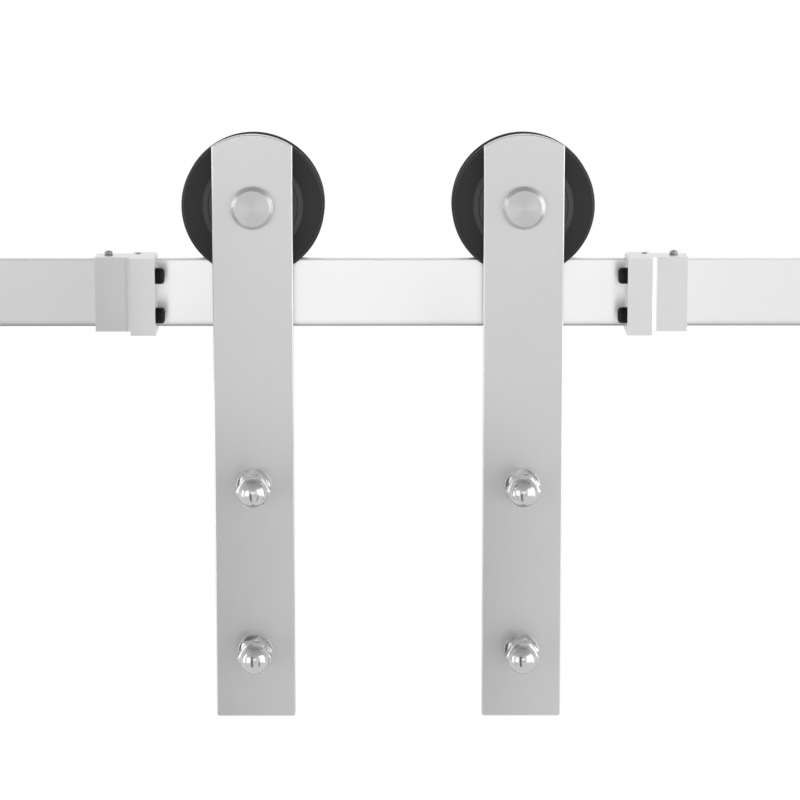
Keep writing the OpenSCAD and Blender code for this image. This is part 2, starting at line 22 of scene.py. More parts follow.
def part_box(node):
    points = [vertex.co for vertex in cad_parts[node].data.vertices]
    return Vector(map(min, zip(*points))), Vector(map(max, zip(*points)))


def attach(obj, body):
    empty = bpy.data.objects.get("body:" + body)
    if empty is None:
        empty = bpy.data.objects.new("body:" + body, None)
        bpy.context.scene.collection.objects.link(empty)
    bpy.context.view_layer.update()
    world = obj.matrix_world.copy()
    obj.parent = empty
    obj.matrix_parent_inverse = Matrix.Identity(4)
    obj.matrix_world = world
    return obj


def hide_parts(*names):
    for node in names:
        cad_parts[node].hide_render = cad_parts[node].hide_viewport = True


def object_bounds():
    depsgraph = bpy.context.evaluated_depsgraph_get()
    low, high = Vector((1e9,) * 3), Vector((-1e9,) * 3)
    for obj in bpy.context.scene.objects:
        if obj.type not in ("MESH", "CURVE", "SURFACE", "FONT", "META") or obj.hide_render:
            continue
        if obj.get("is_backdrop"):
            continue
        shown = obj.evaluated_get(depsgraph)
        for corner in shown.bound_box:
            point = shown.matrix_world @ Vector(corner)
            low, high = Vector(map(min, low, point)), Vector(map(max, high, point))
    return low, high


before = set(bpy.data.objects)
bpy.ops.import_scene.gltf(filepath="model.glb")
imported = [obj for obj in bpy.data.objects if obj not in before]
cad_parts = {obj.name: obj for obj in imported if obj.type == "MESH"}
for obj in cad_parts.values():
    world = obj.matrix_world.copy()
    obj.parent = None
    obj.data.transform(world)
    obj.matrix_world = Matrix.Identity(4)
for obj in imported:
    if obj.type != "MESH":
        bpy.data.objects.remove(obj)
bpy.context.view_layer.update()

LOG = logging.getLogger("track_set")
MM = 0.001
TURN = 2 * math.pi
HEX_SECTOR = math.pi / 3
CHAMFER_SLOPE = math.tan(math.radians(30))
SMOOTH_ANGLE = math.radians(35)
SHARP_ANGLE = math.radians(40)
FLAT_ANGLE = math.radians(0.5)
MERGE = 1e-6
THREAD_GAP = 0.02
THREAD_SLOPE, THREAD_ROOT_FLAT = 2.6, 0.15
THREAD_STEPS = 10
HEX_SOFTENING = 0.1
CORNER_WEAR, RIM_WEAR, FOOT_WEAR = 0.6, 0.3, 0.2
LEAST_STEPS, STEPS_PER_RADIAN, STEPS_PER_ARC_MM = 3, 4.0, 3

Colour = tuple[float, float, float]
Term = Union["Signal", float]
Radius = Union[float, Callable[[float], float]]
Ring = tuple[Radius, Radius, float]
Place = tuple[float, float, float]


# ---- Shader nodes ----


class Signal:
    """A shader socket that takes part in arithmetic, each step of which adds a Math node."""

    def __init__(self, sheet: NodeSheet, socket: bpy.types.NodeSocket) -> None:
        """Wraps an output socket of the sheet's tree."""
        self.sheet = sheet
        self.socket = socket

    def _math(self, operation: str, *terms: Term, clamp: bool = False) -> Signal:
        """Adds one Math node with those inputs, and gives its result, clamped to 0 to 1 or not."""
        settings = {"operation": operation, "use_clamp": clamp}
        return self.sheet.node("ShaderNodeMath", settings, dict(enumerate(terms)))

    def __add__(self, other: Term) -> Signal:
        """The sum."""
        return self._math("ADD", self, other)

    __radd__ = __add__

    def __sub__(self, other: Term) -> Signal:
        """The difference."""
        return self._math("SUBTRACT", self, other)

    def __rsub__(self, other: Term) -> Signal:
        """The difference, taken from a number."""
        return self._math("SUBTRACT", other, self)

    def __mul__(self, other: Term) -> Signal:
        """The product."""
        return self._math("MULTIPLY", self, other)

    __rmul__ = __mul__

    def __pow__(self, other: Term) -> Signal:
        """The power."""
        return self._math("POWER", self, other)

    def clamped(self) -> Signal:
        """The same value, kept from 0 to 1."""
        return self._math("MULTIPLY", self, 1.0, clamp=True)


class NodeSheet:
    """A shader tree that is being filled with nodes."""

    def __init__(self, tree: bpy.types.NodeTree) -> None:
        """Starts with an empty tree."""
        self.tree = tree
        tree.nodes.clear()

    def node(
        self, kind: str, settings: dict[str, object], inputs: dict[object, object], out: int = 0
    ) -> Signal | None:
        """Adds one node, with its settings first and then its inputs.

        Args:
            kind: The node's type.
            settings: Its properties.
            inputs: Values or links, by socket name or number.
            out: The number of the output to give back.

        Returns:
            That output, or nothing where the node has none.
        """
        made = self.tree.nodes.new(kind)
        for key, value in settings.items():
            setattr(made, key, value)
        for key, value in inputs.items():
            self.feed(made.inputs[key], value)
        return Signal(self, made.outputs[out]) if len(made.outputs) else None

    def feed(self, socket: bpy.types.NodeSocket, value: object) -> None:
        """Links a signal to a socket, or sets the socket's own value.

        Args:
            socket: An input socket.
            value: A signal, or a plain value.
        """
        if isinstance(value, Signal):
            self.tree.links.new(value.socket, socket)
        elif socket.type == "RGBA" and len(value) == 3:
            socket.default_value = (*value, 1.0)
        else:
            socket.default_value = value

    def place(self) -> Signal:
        """A point's place on its own piece, in metres."""
        return self.node("ShaderNodeTexCoord", {}, {}, out=3)

    def stretched(self, vector: Signal, scale: Place) -> Signal:
        """The vector, scaled along each axis."""
        return self.node("ShaderNodeVectorMath", {"operation": "MULTIPLY"}, {0: vector, 1: scale})

    def noise(self, vector: Signal, per_mm: float, detail: float = 2.0) -> Signal:
        """Soft noise from 0 to 1 with that many features to a millimetre."""
        inputs = {"Vector": vector, "Scale": per_mm / MM, "Detail": detail}
        return self.node("ShaderNodeTexNoise", {}, inputs)

    def blend(self, share: Term, first: object, second: object) -> Signal:
        """A colour between two, by a share from 0 to 1."""
        settings = {"data_type": "RGBA"}
        return self.node("ShaderNodeMix", settings, {0: share, 6: first, 7: second}, out=2)

    def worn(self) -> Signal:
        """How far a point lies on a worn edge, from 0 to 1."""
        return self.node("ShaderNodeAttribute", {"attribute_name": "worn"}, {}, out=2)

    def height(self, vector: Signal) -> Signal:
        """The vector's Z."""
        return self.node("ShaderNodeSeparateXYZ", {}, {0: vector}, out=2)

    def rings(self, vector: Signal, per_mm: float) -> Signal:
        """Noise from 0 to 1 that is the same all round the piece's own Z axis.

        Args:
            vector: The place on the piece.
            per_mm: How many features there are to a millimetre.

        Returns:
            The noise.
        """
        flat = self.stretched(vector, (1, 1, 0))
        radius = self.node("ShaderNodeVectorMath", {"operation": "LENGTH"}, {0: flat}, out=1)
        inputs = {"W": radius, "Scale": per_mm / MM, "Detail": 2.0}
        return self.node("ShaderNodeTexNoise", {"noise_dimensions": "1D"}, inputs)

    def bump(self, height: Signal, depth: float, strength: float = 1.0) -> Signal:
        """A normal from a height of 0 to 1, with its full depth in millimetres."""
        inputs = {"Height": height, "Distance": depth * MM, "Strength": strength}
        return self.node("ShaderNodeBump", {}, inputs)


def new_sheet(name: str) -> tuple[bpy.types.Material, NodeSheet]:
    """A new material and its empty tree.

    Args:
        name: The material's name.

    Returns:
        The material and the sheet for its tree.
    """
    made = bpy.data.materials.new(name)
    made.use_nodes = True
    return made, NodeSheet(made.node_tree)


# ---- Finishes ----


class Grain(Enum):
    """Which way a brushed grain runs, as the streaks' scale along X, Y and Z."""

    ALONG_RAIL = (0.012, 1.0, 1.0)
    UPRIGHT = (1.0, 1.0, 0.012)


@dataclass(frozen=True)
class Finish:
    """A surface's finish.

    Attributes:
        slot: The record's material slot that it dresses.
        tone: The surface's own colour.
        roughness: Its mean roughness.
    """

    slot: str
    tone: Colour
    roughness: float

    def material(self) -> bpy.types.Material:
        """The finish as a material, made the first time that it is asked for.

        Returns:
            The material.
        """
        name = f"{self.slot}_finish"
        found = bpy.data.materials.get(name)
        if found is None:
            found, sheet = new_sheet(name)
            sockets = {"Roughness": self.roughness, **self.sockets(sheet)}
            shader = sheet.node("ShaderNodeBsdfPrincipled", {}, sockets)
            sheet.node("ShaderNodeOutputMaterial", {}, {"Surface": shader})
        return found

    def sockets(self, sheet: NodeSheet) -> dict[str, object]:
        """The shader's inputs, as values or signals by socket name."""
        raise NotImplementedError

    def shade(self, factor: float) -> Colour:
        """The tone, lighter or darker by a factor."""
        return tuple(min(1.0, channel * factor) for channel in self.tone)

    def mottled(self, sheet: NodeSheet, share: Term, dark: float, light: float) -> Signal:
        """The tone, from a darker to a lighter shade of it by a share."""
        return sheet.blend(share, self.shade(dark), self.shade(light))


@dataclass(frozen=True)
class BrushedSteel(Finish):
    """Stainless steel with a fine one-way grain and slightly polished edges.

    Attributes:
        grain: Which way the grain runs.
        contrast: How far the streaks lighten and darken the tone.
        spread: How much wider the sheen is across the grain, from 0 to 1.
        sheen_turn: The turn of that wider sheen, in turns from the X axis.
        painted_low_shade: The height under which painted shade darkens the lower edge, and over how much
            it fades in.
        edge_dulling: How much rougher than the faces the edges are.
    """

    grain: Grain
    contrast: float = 0.05
    spread: float = 0.6
    sheen_turn: float = 0.0
    # Where set, a band of painted shade darkens the lower edge.
    painted_low_shade: tuple[float, float] | None = None
    edge_dulling: float = -0.12

    def sockets(self, sheet: NodeSheet) -> dict[str, object]:
        """Streaks of three sizes under a soft cloud, brighter along the worn edges, with painted shade
        along the lower edge where set.

        Args:
            sheet: The material's tree.

        Returns:
            The shader's inputs by socket name.
        """
        place = sheet.place()
        along = sheet.stretched(place, self.grain.value)
        fine = sheet.noise(along, 6.0)
        lines = sheet.noise(along, 1.6)
        cloud = sheet.noise(place, 0.02)
        worn = sheet.worn()
        streak = (0.45 * fine + 0.35 * lines + 0.2 * cloud).clamped()
        base = self.mottled(sheet, streak, 1 - self.contrast, 1 + self.contrast)
        base = sheet.blend(worn * 0.7, base, self.shade(1.12))
        rough = self.roughness + 0.1 * (fine - 0.5) + 0.06 * (cloud - 0.5)
        if self.painted_low_shade:
            # Painted shade: a dark band along the lower edge, down to 0.12 of the tone.
            base = sheet.blend(self.painted_low_shade_share(sheet, place, cloud), base, self.shade(0.12))
        return {
            "Base Color": base,
            "Metallic": 1.0,
            "Roughness": rough + self.edge_dulling * worn,
            "Anisotropic": self.spread,
            "Anisotropic Rotation": self.sheen_turn,
            "Normal": sheet.bump(0.7 * fine + 0.3 * lines, 0.012, 0.6),
        }

    def painted_low_shade_share(self, sheet: NodeSheet, place: Signal, cloud: Signal) -> Signal:
        """How far painted shade darkens the lower edge, rising steeply and a little unevenly to 1.

        Args:
            sheet: The material's tree.
            place: The place on the piece.
            cloud: Noise that makes it uneven.

        Returns:
            The share, from 0 to about 1.
        """
        start, depth = self.painted_low_shade
        below = ((start * MM - sheet.height(place)) * (1 / (depth * MM))).clamped()
        return (below**3) * (0.9 + 0.2 * (cloud - 0.5))


@dataclass(frozen=True)
class SatinSteel(Finish):
    """A cast and blasted steel with an even, faintly grained skin."""

    def sockets(self, sheet: NodeSheet) -> dict[str, object]:
        """A fine grit over a soft cloud, rubbed smooth along the edges.

        Args:
            sheet: The material's tree.

        Returns:
            The shader's inputs by socket name.
        """
        place = sheet.place()
        grit = sheet.noise(place, 5.0, detail=3.0)
        cloud = sheet.noise(place, 0.05)
        worn = sheet.worn()
        streak = (0.5 * grit + 0.5 * cloud).clamped()
        base = self.mottled(sheet, streak, 0.95, 1.05)
        return {
            "Base Color": sheet.blend(worn * 0.6, base, self.shade(1.1)),
            "Metallic": 1.0,
            "Roughness": self.roughness + 0.08 * (grit - 0.5) - 0.14 * worn,
            "Normal": sheet.bump(grit, 0.01, 0.5),
        }


@dataclass(frozen=True)
class TurnedSteel(Finish):
    """Steel faced on a lathe, with fine rings round the piece's own axis.

    Attributes:
        rings: How many rings there are to a millimetre.
        depth: How deep they are, in millimetres.
        spread: How much wider the sheen is across the rings, from 0 to 1.
    """

    rings: float = 5.0
    depth: float = 0.008
    spread: float = 0.7

    def sockets(self, sheet: NodeSheet) -> dict[str, object]:
        """Rings by the distance from the axis, with small dulls and brights between, and painted
        highlight on the worn edges.

        Args:
            sheet: The material's tree.

        Returns:
            The shader's inputs by socket name.
        """
        place = sheet.place()
        tool = sheet.rings(place, self.rings)
        dull = sheet.noise(place, 0.6)
        worn = sheet.worn()
        base = self.mottled(sheet, (0.6 * tool + 0.4 * dull).clamped(), 0.93, 1.05)
        return {
            # Worn edges lighten to 1.6 times the tone: a little edge wear, mostly painted highlight on
            # the axle heads' chamfer edges.
            "Base Color": sheet.blend(worn * 0.7, base, self.shade(1.6)),
            "Metallic": 1.0,
            "Roughness": self.roughness + 0.1 * (tool - 0.5) + 0.05 * (dull - 0.5) - 0.1 * worn,
            "Anisotropic": self.spread,
            "Anisotropic Rotation": 0.25,
            "Normal": sheet.bump(tool, self.depth, 0.6),
        }


@dataclass(frozen=True)
class PolishedSteel(Finish):
    """Bright polished steel with hairline swirls and a few duller patches."""

    swirl: float = 0.05

    def sockets(self, sheet: NodeSheet) -> dict[str, object]:
        """A near mirror whose dulling varies softly.

        Args:
            sheet: The material's tree.

        Returns:
            The shader's inputs by socket name.
        """
        place = sheet.place()
        hair = sheet.noise(sheet.stretched(place, (1.0, 0.25, 1.0)), 3.0, detail=3.0)
        patch = sheet.noise(place, 0.15)
        worn = sheet.worn()
        base = self.mottled(sheet, patch, 0.97, 1.03)
        return {
            "Base Color": sheet.blend(worn * 0.5, base, self.shade(1.08)),
            "Metallic": 1.0,
            "Roughness": self.roughness + self.swirl * (hair - 0.5) + self.swirl * (patch - 0.5),
            "Normal": sheet.bump(hair, 0.0015, 0.4),
        }


@dataclass(frozen=True)
class MouldedPlastic(Finish):
    """Nylon or rubber with a fine mould grain, turned rings, and edges paler with scuffs and painted
    highlight.

    Attributes:
        scuff_and_sheen_colour: The colour of an edge's scuffs, and of the painted highlight on the
            wheel's boss slope.
        grit: How deep the mould grain is, in millimetres.
        gloss: The specular level.
    """

    scuff_and_sheen_colour: Colour = (0.12, 0.12, 0.12)
    grit: float = 0.01
    gloss: float = 0.4

    def sockets(self, sheet: NodeSheet) -> dict[str, object]:
        """A speckled skin, paler along its worn edges: scuffs, and painted highlight on the wheel's boss
        slope.

        Args:
            sheet: The material's tree.

        Returns:
            The shader's inputs by socket name.
        """
        place = sheet.place()
        rings = sheet.rings(place, 2.2)
        speckle = sheet.noise(place, 2.4, detail=4.0)
        cloud = sheet.noise(place, 0.08)
        worn = sheet.worn()
        skin = (0.4 * speckle + 0.3 * cloud + 0.3 * rings).clamped()
        base = self.mottled(sheet, skin, 0.8, 1.25)
        # The paler edge colour is partly scuffing and partly painted highlight, lightening the wheel
        # boss's broad rounding into crescents.
        scuff_and_sheen = (worn * speckle * 0.9).clamped()
        return {
            "Base Color": sheet.blend(scuff_and_sheen, base, self.scuff_and_sheen_colour),
            "Roughness": self.roughness + 0.16 * (speckle - 0.5) + 0.1 * (rings - 0.5),
            "Specular IOR Level": self.gloss,
            "Normal": sheet.bump(0.6 * speckle + 0.4 * rings, self.grit, 0.5),
        }


def grey(level: float, warmth: float = 0.0) -> Colour:
    """A grey of that level, a little warmer or cooler than neutral."""
    return (level * (1 + warmth), level, level * (1 - warmth))


# The rail's (-14.2, 4.9) sets a band of painted shade along its lower edge.
RAIL_STEEL = BrushedSteel(
    "rail_steel", grey(0.88), 0.31, Grain.ALONG_RAIL, 0.03, 0.85, 0.25, (-14.2, 4.9), 0.35
)
STRAP_STEEL = BrushedSteel("strap_steel", grey(0.595), 0.42, Grain.UPRIGHT, 0.05, 0.4)
STOP_STEEL = SatinSteel("stop_steel", grey(0.68), 0.4)
TURNED_STEEL = TurnedSteel("turned_steel", grey(0.53), 0.42)
POLISHED_STEEL = PolishedSteel("polished_steel", grey(0.55), 0.2)
FIXING_STEEL = PolishedSteel("fixing_steel", grey(0.6, 0.01), 0.27, 0.1)
BEARING_STEEL = TurnedSteel("bearing_steel", grey(0.6), 0.22, 6.0, 0.004, 0.4)
PRESSED_STEEL = SatinSteel("pressed_steel", grey(0.5, 0.02), 0.34)
SPRING_STEEL = SatinSteel("spring_steel", grey(0.45), 0.35)
# grey(0.1) is the wheel's paler edge colour: scuffs, and painted highlight on the boss's slope.
WHEEL_NYLON = MouldedPlastic("wheel_nylon", grey(0.02), 0.5, grey(0.1), 0.01, 0.25)
BUMPER_RUBBER = MouldedPlastic("bumper_rubber", grey(0.006), 0.5, grey(0.03), 0.02, 0.1)
INSERT_NYLON = MouldedPlastic("insert_nylon", grey(0.72, 0.02), 0.5, grey(0.85), 0.01, 0.4)


# ---- Mesh making ----


@dataclass(frozen=True)
class Seat:
    """Where a piece belongs.

    Attributes:
        body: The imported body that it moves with.
        node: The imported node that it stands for.
        place: Its placement, in millimetres.
    """

    body: str
    node: str
    place: Matrix


def in_metres(place: Matrix) -> Matrix:
    """A placement in millimetres as one in metres.

    Args:
        place: The placement in millimetres.

    Returns:
        The same placement in metres.
    """
    scaled = place.copy()
    scaled.translation *= MM
    return scaled


def show(name: str, data: bpy.types.ID) -> bpy.types.Object:
    """Puts a new object into the scene.

    Args:
        name: The object's name.
        data: Its mesh, lamp or camera.

    Returns:
        The object.
    """
    made = bpy.data.objects.new(name, data)
    bpy.context.scene.collection.objects.link(made)
    return made


def polar(angle: float, radius: float) -> Vector:
    """The point of a plane at that angle and that distance from its origin."""
    return Vector((radius * math.cos(angle), radius * math.sin(angle)))


class Way(Enum):
    """Which way a piece's own Z axis points."""

    FRONT = Matrix.Rotation(math.radians(90), 4, "X")
    WALL = Matrix.Rotation(math.radians(-90), 4, "X")
    UP = Matrix.Identity(4)
    RIGHT = Matrix.Rotation(math.radians(90), 4, "Y")
    LEFT = Matrix.Rotation(math.radians(-90), 4, "Y")

    def at(self, x: float, y: float, z: float, turn: float = 0.0) -> Matrix:
        """The placement at a point, turned about the piece's own axis by some degrees."""
        spin = Matrix.Rotation(math.radians(turn), 4, "Z")
        return Matrix.Translation((x, y, z)) @ self.value @ spin


@dataclass(frozen=True)
class Span:
    """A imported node's box at rest, in millimetres."""

    low: Vector
    high: Vector

    @classmethod
    def of(cls, node: str) -> Span:
        """The box of that node."""
        low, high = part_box(node)
        return cls(low / MM, high / MM)

    @property
    def middle(self) -> Vector:
        """The box's centre."""
        return (self.low + self.high) / 2


RAIL = Span.of("rail")


def even_angles(steps: int) -> list[float]:
    """That many equal steps round a full turn."""
    return [TURN * step / steps for step in range(steps)]


def hexagon_angles() -> list[float]:
    """Steps round a turn that crowd at the corners of a hexagon."""
    offsets = [0.0, 1.5, *range(6, 55, 6), 58.5]
    return [math.radians(60 * sector + offset) for sector in range(6) for offset in offsets]


def quarter(steps: int) -> list[float]:
    """The angles from 0 to a quarter turn, in that many steps."""
    return [TURN / 4 * step / steps for step in range(steps + 1)]


ROUND = even_angles(96)
FINE_ROUND = even_angles(160)
HOLE_ROUND = even_angles(64)
HEXED = hexagon_angles()


def hexagon(flats: float) -> Callable[[float], float]:
    """The radius of a hexagon with softened corners, by the angle from one of its corners.

    Args:
        flats: The width across flats.

    Returns:
        A function from an angle to the radius there.
    """
    half = flats / 2
    limit = half / math.cos(math.pi / 6) - HEX_SOFTENING

    def radius(angle: float) -> float:
        """The distance from the axis at that angle."""
        off_flat = angle % HEX_SECTOR - HEX_SECTOR / 2
        return min(half / math.cos(off_flat), limit)

    return radius


def hexagon_end(flats: float, face: float, level: float, way: int) -> list[Ring]:
    """The rings of a hexagon's chamfered end.

    Args:
        flats: The width across flats.
        face: The radius of the flat round face.
        level: The height of that face.
        way: 1 where the end faces up, and -1 where it faces down.

    Returns:
        The face's ring and the hexagon's, from the face outwards.
    """
    across = hexagon(flats)
    return [
        (face, level, 0.0),
        (across, lambda a: level - way * (across(a) - face) * CHAMFER_SLOPE, CORNER_WEAR),
    ]


def nut_rings(bore: float, flats: float, face: float, height: float) -> list[Ring]:
    """The rings of a nut from the lower end of its bore, round the outside to its upper face."""
    upper = hexagon_end(flats, face, height, 1)[::-1]
    return [(bore, 0.0, 0.0), *hexagon_end(flats, face, 0.0, -1), *upper]


def thread(crest: float, root: float, pitch: float, top: float, bottom: float) -> list[Ring]:
    """The rings of a screw thread.

    Args:
        crest: The radius at the crests.
        root: The radius at the roots.
        pitch: The distance between two crests.
        top: The height where it starts.
        bottom: The height where it ends, below the start.

    Returns:
        Rings from the start to the end.
    """
    count = max(8, round((top - bottom) / pitch * THREAD_STEPS))
    levels = [top + (bottom - top) * step / count for step in range(count + 1)]

    def radius(level: float, angle: float) -> float:
        """A flattened V that winds once round in each pitch.

        Args:
            level: The height.
            angle: The angle round the axis.

        Returns:
            The thread's radius there.
        """
        phase = (level / pitch - angle / TURN) % 1.0
        rise = THREAD_SLOPE * abs(phase - 0.5) - THREAD_ROOT_FLAT
        return root + (crest - root) * min(1.0, max(0.0, rise))

    return [(partial(radius, level), level, RIM_WEAR) for level in levels]


def eased(corners: Sequence[tuple[float, float, float]], closed: bool = False) -> list[Ring]:
    """Rounds the corners of a section.

    Args:
        corners: The radius, the height and the rounding of each corner, in order.
        closed: Whether the last corner joins the first.

    Returns:
        The section's rings, worn in the middle of each rounding.
    """
    rings: list[Ring] = []
    count = len(corners)
    for index, (radius, level, ease) in enumerate(corners):
        if ease <= 0 or not closed and index in (0, count - 1):
            rings.append((radius, level, 0.0))
            continue
        corner = Vector((radius, level))
        before = (Vector(corners[index - 1][:2]) - corner).normalized()
        after = (Vector(corners[(index + 1) % count][:2]) - corner).normalized()
        half = before.angle(after) / 2
        centre = corner + (before + after).normalized() * ease / math.sin(half)
        first = corner + before * ease / math.tan(half) - centre
        last = corner + after * ease / math.tan(half) - centre
        start = math.atan2(first.y, first.x)
        sweep = (math.atan2(last.y, last.x) - start + math.pi) % TURN - math.pi
        rate = max(STEPS_PER_RADIAN, STEPS_PER_ARC_MM * ease)
        steps = max(LEAST_STEPS, round(abs(sweep) * rate))
        for step in range(steps + 1):
            angle = start + sweep * step / steps
            rings.append((*(centre + polar(angle, ease)), 1.0 if 0 < step < steps else 0.0))
    return rings


class Skin:
    """A piece's mesh in the making, in millimetres."""

    def __init__(self) -> None:
        """Starts with no points."""
        self.points: list[Vector] = []
        self.wear: list[float] = []
        self.faces: list[tuple[int, ...]] = []

    def add(self, point: Sequence[float], wear: float = 0.0) -> int:
        """Adds a point.

        Args:
            point: Its place in millimetres.
            wear: How worn it is, from 0 to 1.

        Returns:
            Its number.
        """
        self.points.append(Vector(point))
        self.wear.append(wear)
        return len(self.points) - 1

    def bridge(self, first: Sequence[int], second: Sequence[int]) -> None:
        """Joins two closed loops, either of which may be a single point.

        Args:
            first: The numbers of one loop's points.
            second: Those of the other.
        """
        count = max(len(first), len(second))
        for step in range(count):
            after = (step + 1) % count
            corners = [first[step % len(first)], first[after % len(first)]]
            corners += [second[after % len(second)], second[step % len(second)]]
            self.faces.append(tuple(dict.fromkeys(corners)))

    def turn(self, rings: Sequence[Ring], angles: Sequence[float], closed: bool = False) -> Skin:
        """Turns a section round the Z axis.

        Args:
            rings: The section, where a radius of 0 is a point on the axis.
            angles: The steps round the axis.
            closed: Whether the last ring joins the first.

        Returns:
            This skin.
        """
        loops = []
        for radius, level, wear in rings:
            reach = radius if callable(radius) else lambda angle, r=radius: r
            height = level if callable(level) else lambda angle, z=level: z
            if not callable(radius) and radius == 0:
                loops.append([self.add((0, 0, height(0.0)), wear)])
                continue
            loops.append([self.add((*polar(a, reach(a)), height(a)), wear) for a in angles])
        pairs = list(zip(loops, loops[1:])) + ([(loops[-1], loops[0])] if closed else [])
        for lower, upper in pairs:
            self.bridge(lower, upper)
        return self

    def plate(self, outlines: Sequence[Sequence[Vector]], front: float, back: float, ease: float) -> Skin:
        """Makes a flat bar that faces the room, with rounded edges.

        Args:
            outlines: Its outline in X and Z, anticlockwise, and then its holes, clockwise.
            front: The front face's Y.
            back: The back face's Y.
            ease: The rounding of its edges.

        Returns:
            This skin.
        """
        bend = quarter(4)
        levels = [(ease * (1 - math.sin(a)), front + ease * (1 - math.cos(a))) for a in bend]
        levels += [(inset, back + front - y) for inset, y in reversed(levels)]
        wears = [0.0, *[1.0] * (len(bend) - 2), 0.0] * 2
        caps: tuple[list[list[int]], list[list[int]]] = ([], [])
        for outline in outlines:
            loops = []
            for (inset, y), wear in zip(levels, wears):
                moved = inset_loop(outline, inset)
                loops.append([self.add((p.x, y, p.y), wear) for p in moved])
            for lower, upper in zip(loops, loops[1:]):
                self.bridge(lower, upper)
            caps[0].append(loops[0])
            caps[1].append(loops[-1])
        for rings in caps:
            self.fill(rings)
        return self

    def fill(self, loops: Sequence[Sequence[int]]) -> None:
        """Closes a flat outline.

        Args:
            loops: The numbers of the outline's points, and then those of its holes.
        """
        numbers = [number for loop in loops for number in loop]
        corners = [[self.points[number] for number in loop] for loop in loops]
        for triangle in tessellate_polygon(corners):
            self.faces.append(tuple(numbers[corner] for corner in triangle))

    def make(self, name: str, seat: Seat, finish: Finish, ease: float = 0.0) -> None:
        """Turns the skin into a finished piece that moves with its body.

        Args:
            name: The piece's name.
            seat: Where it belongs.
            finish: Its finish.
            ease: A rounding for the sharp edges of a piece that has none yet.
        """
        mesh = bpy.data.meshes.new(name)
        shape = bmesh.new()
        layer = shape.verts.layers.float.new("worn")
        verts = []
        for point, wear in zip(self.points, self.wear):
            vert = shape.verts.new(point * MM)
            vert[layer] = wear
            verts.append(vert)
        for face in self.faces:
            shape.faces.new([verts[number] for number in face])
        bmesh.ops.remove_doubles(shape, verts=shape.verts, dist=MERGE)
        bmesh.ops.dissolve_degenerate(shape, edges=shape.edges, dist=MERGE / 10)
        bmesh.ops.recalc_face_normals(shape, faces=shape.faces)
        if ease > 0:
            self._round_edges(shape, layer, ease)
        shape.to_mesh(mesh)
        shape.free()
        mesh.polygons.foreach_set("use_smooth", [True] * len(mesh.polygons))
        mesh.set_sharp_from_angle(angle=SMOOTH_ANGLE)
        piece = show(name, mesh)
        piece.matrix_world = in_metres(seat.place)
        mesh.materials.append(finish.material())
        weigh_normals(piece)
        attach(piece, seat.body)
        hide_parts(seat.node)
        LOG.info("%s on %s, %d faces", name, seat.body, len(mesh.polygons))

    @staticmethod
    def _round_edges(shape: bmesh.types.BMesh, layer: object, ease: float) -> None:
        """Rounds every sharp edge and marks the rounding as worn.

        Args:
            shape: The mesh.
            layer: Its points' layer of wear.
            ease: The width of the rounding, in millimetres.
        """
        parts = {"verts": shape.verts, "edges": shape.edges}
        bmesh.ops.dissolve_limit(shape, angle_limit=FLAT_ANGLE, **parts)
        sharp = [edge for edge in shape.edges if edge.calc_face_angle(0.0) > SHARP_ANGLE]
        settings = {"segments": 3, "profile": 0.5, "affect": "EDGES", "clamp_overlap": True}
        made = bmesh.ops.bevel(shape, geom=sharp, offset=ease * MM, **settings)
        rounding = set(made["faces"])
        for vert in made["verts"]:
            if all(face in rounding for face in vert.link_faces):
                vert[layer] = 1.0


def weigh_normals(piece: bpy.types.Object) -> None:
    """Makes the flat faces of a piece shade flat up to their roundings.

    Args:
        piece: The piece, whose mesh is replaced.
    """
    piece.modifiers.new("weighted", "WEIGHTED_NORMAL").keep_sharp = True
    shaped = piece.evaluated_get(bpy.context.evaluated_depsgraph_get())
    mesh = bpy.data.meshes.new_from_object(shaped)
    piece.modifiers.clear()
    piece.data = mesh


def inset_loop(loop: Sequence[Vector], inset: float) -> list[Vector]:
    """Moves each side of a plane's loop to its left by a distance.

    Args:
        loop: The loop's points in a plane.
        inset: How far each side moves.

    Returns:
        The moved points.
    """
    moved = []
    for index, point in enumerate(loop):
        before = (point - loop[index - 1]).normalized()
        after = (loop[(index + 1) % len(loop)] - point).normalized()
        left, right = Vector((-before.y, before.x)), Vector((-after.y, after.x))
        moved.append(point + (left + right) * inset / (1 + left.dot(right)))
    return moved


def circle(x: float, z: float, diameter: float) -> list[Vector]:
    """A round hole's loop, clockwise."""
    return [Vector((x, z)) + polar(-angle, diameter / 2) for angle in HOLE_ROUND]


def make_ring(name: str, seat: Seat, sizes: Place, finish: Finish, ease: float = 0.35) -> None:
    """Makes a washer or a tube with eased edges.

    Args:
        name: The piece's name.
        seat: Where it belongs.
        sizes: Its outer diameter, its inner diameter and its length.
        finish: Its finish.
        ease: The rounding of its outer edges.
    """
    outer, inner, length = sizes
    corners = [(inner / 2, 0.0, ease / 2), (outer / 2, 0.0, ease)]
    corners += [(outer / 2, length, ease), (inner / 2, length, ease / 2)]
    Skin().turn(eased(corners, closed=True), ROUND, closed=True).make(name, seat, finish)


def dress(node: str, finish: Finish) -> None:
    """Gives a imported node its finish.

    Args:
        node: The node.
        finish: The finish.
    """
    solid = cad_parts[node]
    if not solid.data.materials:
        solid.data.materials.append(finish.material())
    for slot in solid.material_slots:
        slot.material = finish.material()
    LOG.info("%s keeps its solid", node)


# ---- Sub-assemblies ----


